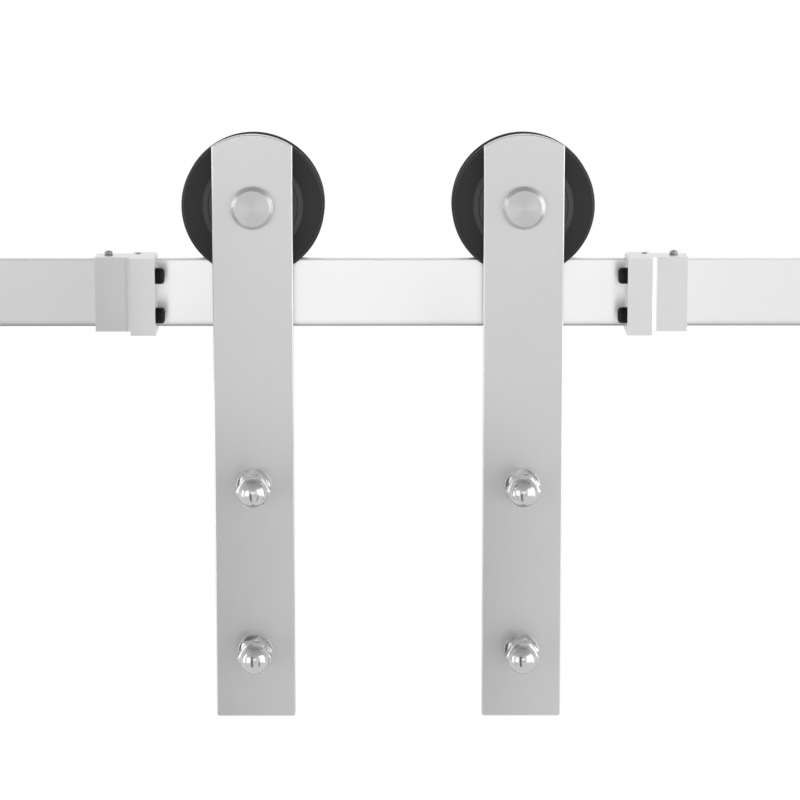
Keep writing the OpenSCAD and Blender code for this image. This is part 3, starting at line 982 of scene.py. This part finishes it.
@dataclass
class Track:
    """The flat rail and the screws, washers and spacers that hold it to the wall."""

    body: str = "rail_assembly"
    edge: float = 1.2
    fixing_pitch: float = 406.4
    hole: float = 9.0
    spacer: float = 16.0
    washer: float = 16.0
    washer_thickness: float = 1.6
    shank: float = 8.0
    head_flats: float = 13.0
    head_height: float = 5.3
    head_face: float = 6.18
    thread_crest: float = 3.8
    thread_root: float = 2.9
    thread_pitch: float = 3.2
    thread_length: float = 40.0
    thread_start: float = 0.4
    point_length: float = 8.0
    point_root: float = 0.7
    point_gap: float = 0.4

    @property
    def fixings(self) -> list[float]:
        """The X of each fixing, from the left."""
        return [-self.fixing_pitch, 0.0, self.fixing_pitch]

    def build(self) -> None:
        """Makes the rail and, at each fixing, the tube behind it, the washer and the screw."""
        self.build_rail()
        for name, x in zip(("left", "middle", "right"), self.fixings):
            seat = Seat(self.body, "wall_spacers", Way.FRONT.at(x, 0, 0))
            tube = (self.spacer, self.hole, -RAIL.high.y)
            make_ring(f"{name}_wall_spacer", seat, tube, FIXING_STEEL, 0.5)
            seat = Seat(self.body, "lag_washers", Way.FRONT.at(x, RAIL.low.y, 0))
            washer = (self.washer, self.hole, self.washer_thickness)
            make_ring(f"{name}_lag_washer", seat, washer, FIXING_STEEL)
            self.build_screw(name, x, self.washer_thickness - RAIL.low.y)

    def build_rail(self) -> None:
        """Makes the rail, with a hole at each fixing."""
        low, high = RAIL.low, RAIL.high
        corners = ((low.x, low.z), (high.x, low.z), (high.x, high.z), (low.x, high.z))
        outline = [Vector(corner) for corner in corners]
        holes = [circle(x, 0.0, self.hole) for x in self.fixings]
        skin = Skin().plate([outline, *holes], low.y, high.y, self.edge)
        skin.make("flat_rail", Seat(self.body, "rail", Matrix.Identity(4)), RAIL_STEEL)

    def build_screw(self, name: str, x: float, head: float) -> None:
        """Makes one hexagon wood screw.

        Args:
            name: The place of its fixing.
            x: The X of its axis.
            head: How far in front of the wall the underside of its head is.
        """
        top = head + self.head_height
        tip = -self.thread_length - self.point_length
        end = tip + self.point_gap
        point = thread(1.0, self.point_root, self.thread_pitch, -self.thread_length, end)
        rings = [(0.0, top, 0.0), *hexagon_end(self.head_flats, self.head_face, top, 1)]
        rings += [(hexagon(self.head_flats), head, RIM_WEAR), (self.shank / 2, head, 0.0)]
        rings += [(self.shank / 2, self.thread_start, 0.0)]
        crest, root = self.thread_crest, self.thread_root
        rings += thread(crest, root, self.thread_pitch, 0.0, -self.thread_length)
        for radius, level, wear in point[1:]:
            taper = self.thread_crest * (level - tip) / self.point_length
            rings.append((lambda a, r=radius, t=taper: r(a) * t, level, wear))
        rings.append((0.0, tip, 0.0))
        seat = Seat(self.body, "lag_screws", Way.FRONT.at(x, 0, 0))
        Skin().turn(rings, HEXED).make(f"{name}_lag_screw", seat, FIXING_STEEL)


@dataclass
class Hanger:
    """A strap with its axle and its two door bolts."""

    side: str
    edge: float = 0.7
    crown: float = 40.5
    corner: float = 1.5
    hole: float = 10.5
    lower_bolt: float = 38.1
    bolt_pitch: float = 95.25
    bolt: float = 10.0
    thread: float = 9.6
    thread_root: float = 8.2
    thread_pitch: float = 1.5
    nut_flats: float = 17.0
    nut_face: float = 8.08
    nut_height: float = 8.0
    nut_turn: float = 18.0
    cap_height: float = 8.0
    cap_groove: float = 0.25
    cap_groove_rise: float = 0.3
    dome: float = 16.0
    neck: float = 2.0
    engagement: float = 12.0
    washer: float = 20.0
    washer_thickness: float = 2.0
    door: float = 35.0
    bolt_head: float = 24.0
    bolt_head_height: float = 4.5
    bolt_head_chamfer: float = 1.5
    bolt_head_rim: float = 4.0
    bolt_tip: float = 1.0
    axle_tail: float = 8.0
    axle_tip: float = 0.3
    axle_tip_length: float = 0.6
    socket_flats: float = 6.0
    socket_depth: float = 2.6
    axle_head: float = 23.5
    axle_head_height: float = 4.5
    axle_chamfer: float = 2.0
    spacer: float = 15.6
    lock_hexagon: float = 7.5
    collar: float = 15.6
    collar_height: float = 2.5
    collar_ease: float = 0.8
    insert: float = 13.2
    insert_height: float = 1.8

    @property
    def strap(self) -> Span:
        """The strap's box."""
        return Span.of(f"{self.side}_hanger_strap")

    @property
    def axle(self) -> Vector:
        """The middle of the wheel."""
        return Span.of(f"{self.side}_wheel").middle

    @property
    def levels(self) -> list[float]:
        """The heights of the lower and the upper door bolt."""
        return [self.strap.low.z + self.lower_bolt + step * self.bolt_pitch for step in (0, 1)]

    def build(self) -> None:
        """Makes every piece that hangs with the strap."""
        self.build_strap()
        self.build_axle()
        for name, level in zip(("lower", "upper"), self.levels):
            self.build_door_bolt(name, level)
            self.build_nuts(name, level)
        dress(f"{self.side}_locknut_insert", INSERT_NYLON)
        dress(f"{self.side}_bearing_inner_ring", BEARING_STEEL)

    def seat(self, node: str, place: Matrix) -> Seat:
        """The seat of one of this hanger's nodes."""
        return Seat(f"{self.side}_hanger", f"{self.side}_{node}", place)

    def outline(self) -> list[Vector]:
        """The strap's outline.

        Returns:
            Its points in X and Z, anticlockwise from its lower left corner.
        """
        strap = self.strap
        half, middle = (strap.high.x - strap.low.x) / 2, strap.middle.x
        loop = []
        for sign, start in ((-1, math.pi), (1, 1.5 * math.pi)):
            centre = Vector((middle + sign * (half - self.corner), strap.low.z + self.corner))
            loop += [centre + polar(start + angle, self.corner) for angle in quarter(6)]
        shoulder, steps = math.acos(half / self.crown), 48
        for step in range(steps + 1):
            angle = shoulder + (math.pi - 2 * shoulder) * step / steps
            loop.append(Vector((middle, self.axle.z)) + polar(angle, self.crown))
        return loop

    def build_strap(self) -> None:
        """Makes the strap, with its crowned top and its three holes."""
        strap = self.strap
        holes = [circle(strap.middle.x, z, self.hole) for z in (self.axle.z, *self.levels)]
        skin = Skin().plate([self.outline(), *holes], strap.low.y, strap.high.y, self.edge)
        skin.make(f"{self.side}_strap", self.seat("hanger_strap", Matrix.Identity(4)), STRAP_STEEL)

    def build_axle(self) -> None:
        """Makes the axle bolt, its spacers, its washer and its lock nut."""
        front, washer = self.strap.low.y, Span.of(f"{self.side}_axle_washer")
        end = front - Span.of(f"{self.side}_axle_bolt").high.y
        radius, body = self.axle_head / 2, self.bolt / 2
        height, chamfer = self.axle_head_height, self.axle_chamfer
        corners = [(0.0, height, 0.0), (radius - chamfer, height, 0.25)]
        corners += [(radius, height - chamfer, 0.25), (radius, 0.0, 0.0), (body, 0.0, 0.0)]
        head = eased([*corners, (body, front - washer.low.y, 0.0)])
        crest, root = self.thread / 2, self.thread_root / 2
        tip = end + self.axle_tip_length
        tail = thread(crest, root, self.thread_pitch, end + self.axle_tail, tip)
        rings = [*head, (crest, front - washer.low.y, 0.0), *tail]
        rings += [(root - self.axle_tip, end, 0.0), (0.0, end, 0.0)]
        seat = self.seat("axle_bolt", Way.FRONT.at(self.axle.x, front, self.axle.z))
        Skin().turn(rings, ROUND).make(f"{self.side}_axle_head_bolt", seat, TURNED_STEEL)
        for name in ("axle_front_spacer", "axle_back_spacer", "axle_washer"):
            self.build_axle_ring(name)
        self.build_locknut(washer.high.y)

    def build_axle_ring(self, name: str) -> None:
        """Makes one of the rings on the axle.

        Args:
            name: The ring's node, without the side.
        """
        span = Span.of(f"{self.side}_{name}")
        outer, length = span.high.x - span.low.x, span.high.y - span.low.y
        play, finish = (0.5, POLISHED_STEEL) if name == "axle_washer" else (0.2, TURNED_STEEL)
        seat = self.seat(name, Way.WALL.at(self.axle.x, span.low.y, self.axle.z))
        make_ring(f"{self.side}_{name}_ring", seat, (outer, self.bolt + play, length), finish)

    def build_locknut(self, base: float) -> None:
        """Makes the nut with a collar that locks the axle.

        Args:
            base: The Y of the face that it bears on.
        """
        hexagon_top, top = self.lock_hexagon, self.lock_hexagon + self.collar_height
        bore, collar, insert = self.thread / 2 + THREAD_GAP, self.collar / 2, self.insert / 2
        rings = nut_rings(bore, self.nut_flats, self.nut_face, hexagon_top)
        corners = [(collar, hexagon_top, 0.0), (collar, top, self.collar_ease), (insert, top, 0.0)]
        rings += eased(corners)
        rings += [(radius, top - self.insert_height, 0.0) for radius in (insert, bore)]
        seat = self.seat("axle_locknut", Way.WALL.at(self.axle.x, base, self.axle.z))
        Skin().turn(rings, HEXED, closed=True).make(f"{self.side}_locknut", seat, FIXING_STEEL)

    def build_door_bolt(self, name: str, level: float) -> None:
        """Makes a bolt that runs through the door from its flat head behind.

        Args:
            name: Which of the two bolts it is.
            level: The height of its axis.
        """
        strap = self.strap
        end = strap.high.y - Span.of(f"{self.side}_door_bolts").low.y
        base = -self.door - self.bolt_head_height
        head, body, threaded = self.bolt_head / 2, self.bolt / 2, self.thread / 2
        socket = hexagon(self.socket_flats)
        depth, chamfer = base + self.socket_depth, self.bolt_head_chamfer
        rings = [(0.0, depth, 0.0), (socket, depth, 0.0), (socket, base, RIM_WEAR)]
        corners = [(head - self.bolt_head_rim, base, 0.0), (head - chamfer, base, 0.4)]
        corners += [(head, base + chamfer, 0.4), (head, -self.door, 0.2), (body, -self.door, 0.0)]
        rings += eased(corners)
        rings += [(body, 0.0, 0.0), (threaded, 0.0, 0.0), (threaded, end - self.bolt_tip, 0.0)]
        rings += [(threaded - self.bolt_tip, end, 0.0), (0.0, end, 0.0)]
        seat = self.seat("door_bolts", Way.FRONT.at(strap.middle.x, strap.high.y, level))
        Skin().turn(rings, HEXED).make(f"{self.side}_{name}_door_bolt", seat, POLISHED_STEEL)

    def build_nuts(self, name: str, level: float) -> None:
        """Makes the washer, the plain nut and the cap nut in front of the strap.

        Args:
            name: Which of the two bolts they are on.
            level: The height of its axis.
        """
        x, face = self.strap.middle.x, self.strap.low.y
        prefix = f"{self.side}_{name}"
        seat = self.seat("bolt_washers", Way.FRONT.at(x, face, level))
        washer = (self.washer, self.hole, self.washer_thickness)
        make_ring(f"{prefix}_washer", seat, washer, POLISHED_STEEL)
        face -= self.washer_thickness
        bore = self.thread / 2 + THREAD_GAP
        rings = nut_rings(bore, self.nut_flats, self.nut_face, self.nut_height)
        rings.append((bore, self.nut_height, 0.0))
        seat = self.seat("plain_nuts", Way.FRONT.at(x, face, level, self.nut_turn))
        Skin().turn(rings, HEXED, closed=True).make(f"{prefix}_plain_nut", seat, POLISHED_STEEL)
        face -= self.nut_height
        seat = self.seat("cap_nuts", Way.FRONT.at(x, face, level))
        Skin().turn(self.cap_section(bore), HEXED).make(f"{prefix}_cap_nut", seat, POLISHED_STEEL)

    def cap_section(self, bore: float) -> list[Ring]:
        """The section of a cap nut, from the end of its bore to the tip of its dome.

        Args:
            bore: The radius of its bore.

        Returns:
            Its rings.
        """
        depth = self.engagement + 1
        radius, centre = self.dome / 2, self.cap_height + self.neck
        rings: list[Ring] = [(0.0, depth, 0.0), (bore, depth, 0.0), (bore, 0.0, 0.0)]
        rings.append((hexagon(self.nut_flats), 0.0, FOOT_WEAR))
        rings += hexagon_end(self.nut_flats, self.nut_face, self.cap_height, 1)[::-1]
        groove, floor = radius - self.cap_groove, self.cap_height + self.cap_groove
        rings += [(groove, self.cap_height, 0.0), (groove, floor, 0.0)]
        rings += [(radius, floor + self.cap_groove_rise, 0.0), (radius, centre - 0.1, 0.0)]
        for angle in quarter(20)[:-1]:
            rings.append((radius * math.cos(angle), centre + radius * math.sin(angle), 0.0))
        rings.append((0.0, centre + radius, 0.0))
        return rings


@dataclass
class Roller:
    """A grooved wheel with its bearing."""

    side: str
    tread: float = 30.0
    groove: float = 3.675
    groove_rim: float = 4.875
    lip: float = 0.4
    chamfer: float = 1.2
    boss: float = 26.5
    boss_rise: float = 1.0
    boss_slope: float = 3.5
    boss_ease: float = 11.0
    shoulder: float = 12.5
    bearing: float = 15.02
    bearing_half: float = 4.5
    clip_groove: float = 15.7
    clip_end: float = 5.72

    def build(self) -> None:
        """Makes the wheel and dresses the bearing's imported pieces."""
        span = Span.of(f"{self.side}_wheel")
        rim = (span.high.x - span.low.x) / 2
        boss = (span.high.y - span.low.y) / 2
        skin = Skin().turn(self.section(rim, boss), FINE_ROUND, closed=True)
        place = Way.FRONT.at(*span.middle)
        seat = Seat(f"{self.side}_roller", f"{self.side}_wheel", place)
        skin.make(f"{self.side}_grooved_wheel", seat, WHEEL_NYLON)
        for name in ("outer_ring", "balls"):
            dress(f"{self.side}_bearing_{name}", BEARING_STEEL)
        for name in ("cage", "shields"):
            dress(f"{self.side}_bearing_{name}", PRESSED_STEEL)
        dress(f"{self.side}_bearing_circlip", SPRING_STEEL)

    def section(self, rim: float, boss: float) -> list[Ring]:
        """The wheel's closed section.

        Args:
            rim: The radius of its flanges.
            boss: Half its width over the bosses.

        Returns:
            Its rings, from the tread round the front, through the bore and round the back.
        """
        face = boss - self.boss_rise
        front = [
            (self.tread, self.groove, 0.8),
            (rim - self.lip, self.groove_rim, 0.25),
            (rim, self.groove_rim + self.lip, 0.25),
            (rim, face - self.chamfer, 0.5),
            (rim - self.chamfer, face, 0.5),
            # The boss's wide roundings count as worn, so the paler edge colour paints a highlight
            # crescent over the slope.
            (self.boss, face, self.boss_ease),
            (self.boss - self.boss_slope, boss, self.boss_ease),
        ]
        back = [(radius, -level, ease) for radius, level, ease in reversed(front)]
        half, clip, bearing = self.bearing_half, self.clip_end, self.bearing
        bore = [(self.shoulder, boss, 0.4), (self.shoulder, half, 0.0), (bearing, half, 0.0)]
        bore += [(bearing, -half, 0.0), (self.clip_groove, -half, 0.0)]
        bore += [(self.clip_groove, -clip, 0.0), (bearing, -clip, 0.0), (bearing, -boss, 0.4)]
        return eased([*front, *bore, *back], closed=True)


@dataclass
class RailStop:
    """A stepped block clamped on the rail, with its rubber bumpers and grub screws."""

    side: str
    raised: float = 13.7
    corner: float = 2.2
    cove: float = 3.8
    outer_front: float = 8.0
    outer_half: float = 20.8
    clear: float = 0.15
    lip: float = 7.0
    bumper: float = 9.0
    bumper_length: float = 5.0
    bumper_round: float = 2.0
    bumper_pitch: float = 22.2
    bumper_wall: float = 1.6
    stem: float = 5.0
    stem_length: float = 9.0
    grub: float = 5.0
    grub_lengths: tuple[float, float] = (2.9, 4.0)
    grub_inset: float = 10.5
    grub_pitch: float = 16.5
    grub_thread: float = 0.8
    grub_tip: tuple[tuple[float, float], ...] = ((0.9, 0.1), (0.45, 0.45), (0.2, 0.8))
    grub_tip_height: float = 1.1
    grub_end: float = 0.6
    grub_end_height: float = 0.4
    grub_groove: float = 0.4
    grub_lift: float = 0.02
    socket_flats: float = 2.5
    socket_depth: float = 1.8

    @property
    def block(self) -> Span:
        """The block's box."""
        return Span.of(f"{self.side}_stop_body")

    @property
    def outwards(self) -> int:
        """The way along X from the hanger to the rail's end."""
        return -1 if self.side == "left" else 1

    @property
    def inner(self) -> float:
        """The X of the face that meets the hanger."""
        return self.block.high.x if self.side == "left" else self.block.low.x

    def build(self) -> None:
        """Makes the block, its two bumpers and its two grub screws."""
        self.build_block()
        self.build_bumpers()
        self.build_grubs()

    def seat(self, node: str, place: Matrix) -> Seat:
        """The seat of one of this stop's nodes."""
        return Seat(f"{self.side}_stop", f"{self.side}_{node}", place)

    def steps(self) -> list[tuple[float, float, float, float]]:
        """How far out each cross-section lies, and its front, its top and its bottom.

        Returns:
            The distance from the inner face, the front's Y and the top's and bottom's Z of each.
        """
        block = self.block
        half, front = block.high.z, block.low.y
        thin = RAIL.low.y - self.outer_front
        sections = []
        for angle in quarter(8):
            top = half - self.corner * (1 - math.sin(angle))
            sections.append((self.corner * (1 - math.cos(angle)), front, top, -half))
        sections.append((self.raised, front, half, -half))
        for angle in quarter(8):
            out = self.raised + self.cove * (1 - math.cos(angle))
            y = thin - self.cove * (1 - math.sin(angle))
            sections.append((out, y, self.outer_half, -self.outer_half))
        sections.append((block.high.x - block.low.x, thin, self.outer_half, -self.outer_half))
        return sections

    def build_block(self) -> None:
        """Makes the block as a channel round the rail, stepped along its length."""
        slot = RAIL.high.z + self.clear
        slot_front, slot_back = RAIL.low.y - self.clear, RAIL.high.y + self.clear
        back, lip = self.block.high.y, slot - self.lip
        skin, loops = Skin(), []
        channel = [(back, lip), (slot_back, lip), (slot_back, slot), (slot_front, slot)]
        channel += [(y, -z) for y, z in reversed(channel)]
        for out, front, top, bottom in self.steps():
            section = [(front, top), (back, top), *channel, (back, bottom), (front, bottom)]
            x = self.inner + self.outwards * out
            loops.append([skin.add((x, y, z)) for y, z in section])
        for first, second in zip(loops, loops[1:]):
            skin.bridge(first, second)
        skin.fill([loops[0]])
        skin.fill([loops[-1]])
        seat = self.seat("stop_body", Matrix.Identity(4))
        skin.make(f"{self.side}_stop_block", seat, STOP_STEEL, ease=0.45)

    def build_bumpers(self) -> None:
        """Makes the two rubber bumpers that face the hanger."""
        radius, stem, length = self.bumper / 2, self.stem / 2, self.bumper_length
        y = self.block.low.y + self.bumper_wall + radius
        corners = [(0.0, length, 0.0), (radius, length, self.bumper_round), (radius, 0.0, 0.2)]
        corners += [(stem, 0.0, 0.0), (stem, -self.stem_length, 0.0), (0.0, -self.stem_length, 0.0)]
        rings = eased(corners)
        way = Way.RIGHT if self.side == "left" else Way.LEFT
        for name, sign in (("lower", -1), ("upper", 1)):
            place = way.at(self.inner, y, sign * self.bumper_pitch / 2)
            seat = self.seat("stop_bumpers", place)
            Skin().turn(rings, ROUND).make(f"{self.side}_{name}_bumper", seat, BUMPER_RUBBER)

    def build_grubs(self) -> None:
        """Makes the two screws that grip the rail from above."""
        radius, socket = self.grub / 2, hexagon(self.socket_flats)
        for index, name in enumerate(("inner", "outer")):
            top = self.grub_lengths[index]
            depth = top - self.socket_depth
            rings = [(0.0, depth, 0.0), (socket, depth, 0.0), (socket, top, RIM_WEAR)]
            rings += [(radius - inset, top - drop, 0.0) for inset, drop in self.grub_tip]
            start, root = top - self.grub_tip_height, radius - self.grub_groove
            rings += thread(radius, root, self.grub_thread, start, self.grub_end_height)
            end = radius - self.grub_end
            rings += [(end, self.grub_lift, 0.0), (0.0, self.grub_lift, 0.0)]
            x = self.inner + self.outwards * (self.grub_inset + index * self.grub_pitch)
            seat = self.seat("stop_grub_screws", Way.UP.at(x, RAIL.middle.y, RAIL.high.z))
            Skin().turn(rings, HEXED).make(f"{self.side}_{name}_grub_screw", seat, SPRING_STEEL)


# ---- Studio ----


def show_quad(name: str, corners: Sequence[Place], material: bpy.types.Material) -> bpy.types.Object:
    """Puts a flat four-cornered object with that material into the scene.

    Args:
        name: The object's name.
        corners: Its corners in metres, in order.
        material: Its material.

    Returns:
        The object.
    """
    mesh = bpy.data.meshes.new(name)
    mesh.from_pydata(corners, [], [(0, 1, 2, 3)])
    mesh.materials.append(material)
    return show(name, mesh)


@dataclass(frozen=True)
class Lamp:
    """A soft rectangular lamp that faces the object.

    Attributes:
        name: The lamp's name.
        place: Its place.
        size: Its width and height.
        power: Its power in watts.
    """

    name: str
    place: Place
    size: tuple[float, float]
    power: float

    def build(self, target: Vector) -> None:
        """Makes the lamp and turns it to the target.

        Args:
            target: The point that it faces, in millimetres.
        """
        data = bpy.data.lights.new(self.name, "AREA")
        data.shape = "RECTANGLE"
        data.size, data.size_y = (side * MM for side in self.size)
        data.energy = self.power
        lamp = show(self.name, data)
        lamp.location = Vector(self.place) * MM
        lamp.rotation_euler = (target * MM - lamp.location).to_track_quat("-Z", "Y").to_euler()
        lamp.visible_camera = False


@dataclass(frozen=True)
class Card:
    """A card that only shows in gloss, to draw the polished forms.

    Attributes:
        name: The card's name.
        place: Its placement.
        size: Its width and height.
        level: The level of its grey.
        solid: Whether it also keeps light off what is behind it.
    """

    name: str
    place: Matrix
    size: tuple[float, float]
    level: float
    solid: bool = False

    def build(self) -> None:
        """Makes the card."""
        material, sheet = new_sheet(f"{self.name}_cloth")
        cloth = sheet.node("ShaderNodeBsdfDiffuse", {}, {"Color": grey(self.level)})
        sheet.node("ShaderNodeOutputMaterial", {}, {"Surface": cloth})
        half, tall = (side / 2 * MM for side in self.size)
        corners = [(-half, 0, -tall), (half, 0, -tall), (half, 0, tall), (-half, 0, tall)]
        flag = show_quad(self.name, corners, material)
        flag.matrix_world = in_metres(self.place)
        flag.visible_camera = flag.visible_diffuse = False
        flag.visible_shadow = self.solid
        flag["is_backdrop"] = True


LAMPS = (
    Lamp("right_softbox", (1450, -1000, 300), (1400, 1500), 8.5),
    Lamp("left_softbox", (-1300, -1200, 0), (1000, 1500), 6.5),
    Lamp("front_softbox", (130, -2300, 480), (1500, 500), 2.4),
    Lamp("low_softbox", (75, -900, -700), (1200, 300), 2.0),
    Lamp("back_softbox", (75, 900, 480), (1500, 300), 1.4),
    Lamp("left_strip", (-1225, -60, 0), (260, 1300), 3.2),
    Lamp("right_strip", (1375, -60, 0), (260, 1300), 3.2),
)
CARDS = (
    Card("far_flag", Way.UP.at(480, -1500, -200), (200, 500), 0.6),
    Card("end_flag", Way.UP.at(-165, -78, -8, 90), (56, 110), 0.85, solid=True),
    Card("near_flag", Way.UP.at(-140, -130, -12), (124, 115), 0.95, solid=True),
)


@dataclass
class Studio:
    """The floor, the soft lights, the pale surroundings and the camera.

    Attributes:
        camera: The camera's place.
        pitch: How far it looks down, in degrees.
        yaw: How far it looks to the right, in degrees.
        lens: Its focal length.
        target: What the lamps face.
        floor_drop: How far the floor lies under the object.
        floor_reach: How far it reaches each way, in metres.
        floor_level: The grey of its paint.
        floor_glow: How white it is where it shows.
        horizon: The level of the surroundings at the horizon and below.
        zenith: Their level overhead.
        dome_offset: How far to the left, how far in front of the wall and how far under its
            dome a dome's card stands.
        dome_card: The width and height of that card.
        dome_level: The level of its grey.
    """

    camera: Place = (72.8, -1838.2, 265.4)
    pitch: float = 10.3
    yaw: float = 0.28
    lens: float = 146.2
    target: Place = (75.0, -40.0, -60.0)
    floor_drop: float = 250.0
    floor_reach: float = 20.0
    floor_level: float = 0.86
    floor_glow: float = 0.99
    horizon: float = 0.95
    zenith: float = 0.52
    dome_offset: Place = (38.0, 200.0, 62.0)
    dome_card: tuple[float, float] = (32.0, 142.0)
    dome_level: float = 0.01

    def build(self) -> None:
        """Sets up everything that isn't part of the object."""
        self.build_world()
        self.build_floor()
        for lamp in LAMPS:
            lamp.build(Vector(self.target))
        for card in (*self.dome_cards(), *CARDS):
            card.build()
        self.build_camera()

    def dome_cards(self) -> list[Card]:
        """The cards that each cap nut's dome mirrors.

        Returns:
            Four cards, from the left and from below.
        """
        cards = []
        left, front, under = self.dome_offset
        for side in ("left", "right"):
            nuts = Span.of(f"{side}_cap_nuts")
            radius = (nuts.high.x - nuts.low.x) / 2
            for name, z in (("lower", nuts.low.z + radius), ("upper", nuts.high.z - radius)):
                place = Way.UP.at(nuts.middle.x - left, -front, z - under)
                cards.append(Card(f"{side}_{name}_flag", place, self.dome_card, self.dome_level))
        return cards

    @staticmethod
    def background_rays(sheet: NodeSheet) -> Signal:
        """1 for a ray that shows the surroundings, straight or in a gloss or through glass."""
        rays = [sheet.node("ShaderNodeLightPath", {}, {}, out=number) for number in (0, 3, 6)]
        return (rays[0] + rays[1] + rays[2]).clamped()

    def build_world(self) -> None:
        """Makes soft grey surroundings, bright at the horizon and dim overhead."""
        world = bpy.data.worlds.new("surroundings")
        bpy.context.scene.world = world
        world.use_nodes = True
        sheet = NodeSheet(world.node_tree)
        height = sheet.height(sheet.node("ShaderNodeTexCoord", {}, {}))
        level = self.horizon - (self.horizon - self.zenith) * height.clamped()
        light = sheet.node("ShaderNodeBackground", {}, {"Color": level, "Strength": 1.0})
        sheet.node("ShaderNodeOutputWorld", {}, {"Surface": light})

    def build_floor(self) -> None:
        """Makes the pale floor, white where it shows, with a faint shadow."""
        material, sheet = new_sheet("floor_paint")
        paint = sheet.node("ShaderNodeBsdfDiffuse", {}, {"Color": grey(self.floor_level)})
        glow = sheet.node("ShaderNodeEmission", {}, {"Color": grey(1.0), "Strength": 1.0})
        share = self.floor_glow * self.background_rays(sheet)
        both = sheet.node("ShaderNodeMixShader", {}, {0: share, 1: paint, 2: glow})
        sheet.node("ShaderNodeOutputMaterial", {}, {"Surface": both})
        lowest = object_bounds()[0][2] - self.floor_drop * MM
        reach = self.floor_reach
        sides = ((-reach, -reach), (reach, -reach), (reach, reach), (-reach, reach))
        floor = show_quad("floor", [(x, y, lowest) for x, y in sides], material)
        floor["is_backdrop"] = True

    def build_camera(self) -> None:
        """Makes the camera and gives it to the scene."""
        data = bpy.data.cameras.new("camera")
        data.lens, data.sensor_width = self.lens, 36.0
        data.clip_end = 100.0
        camera = show("camera", data)
        camera.location = Vector(self.camera) * MM
        camera.rotation_euler = (math.radians(90 - self.pitch), 0.0, math.radians(-self.yaw))
        bpy.context.scene.camera = camera


def main() -> None:
    """Builds the sub-assemblies and the studio in order."""
    logging.basicConfig(level=logging.INFO, format="%(message)s")
    Track().build()
    for side in ("left", "right"):
        Roller(side).build()
        Hanger(side).build()
        RailStop(side).build()
    Studio().build()
    bpy.context.scene.view_settings.view_transform = "Standard"


if __name__ == "__main__":
    main()
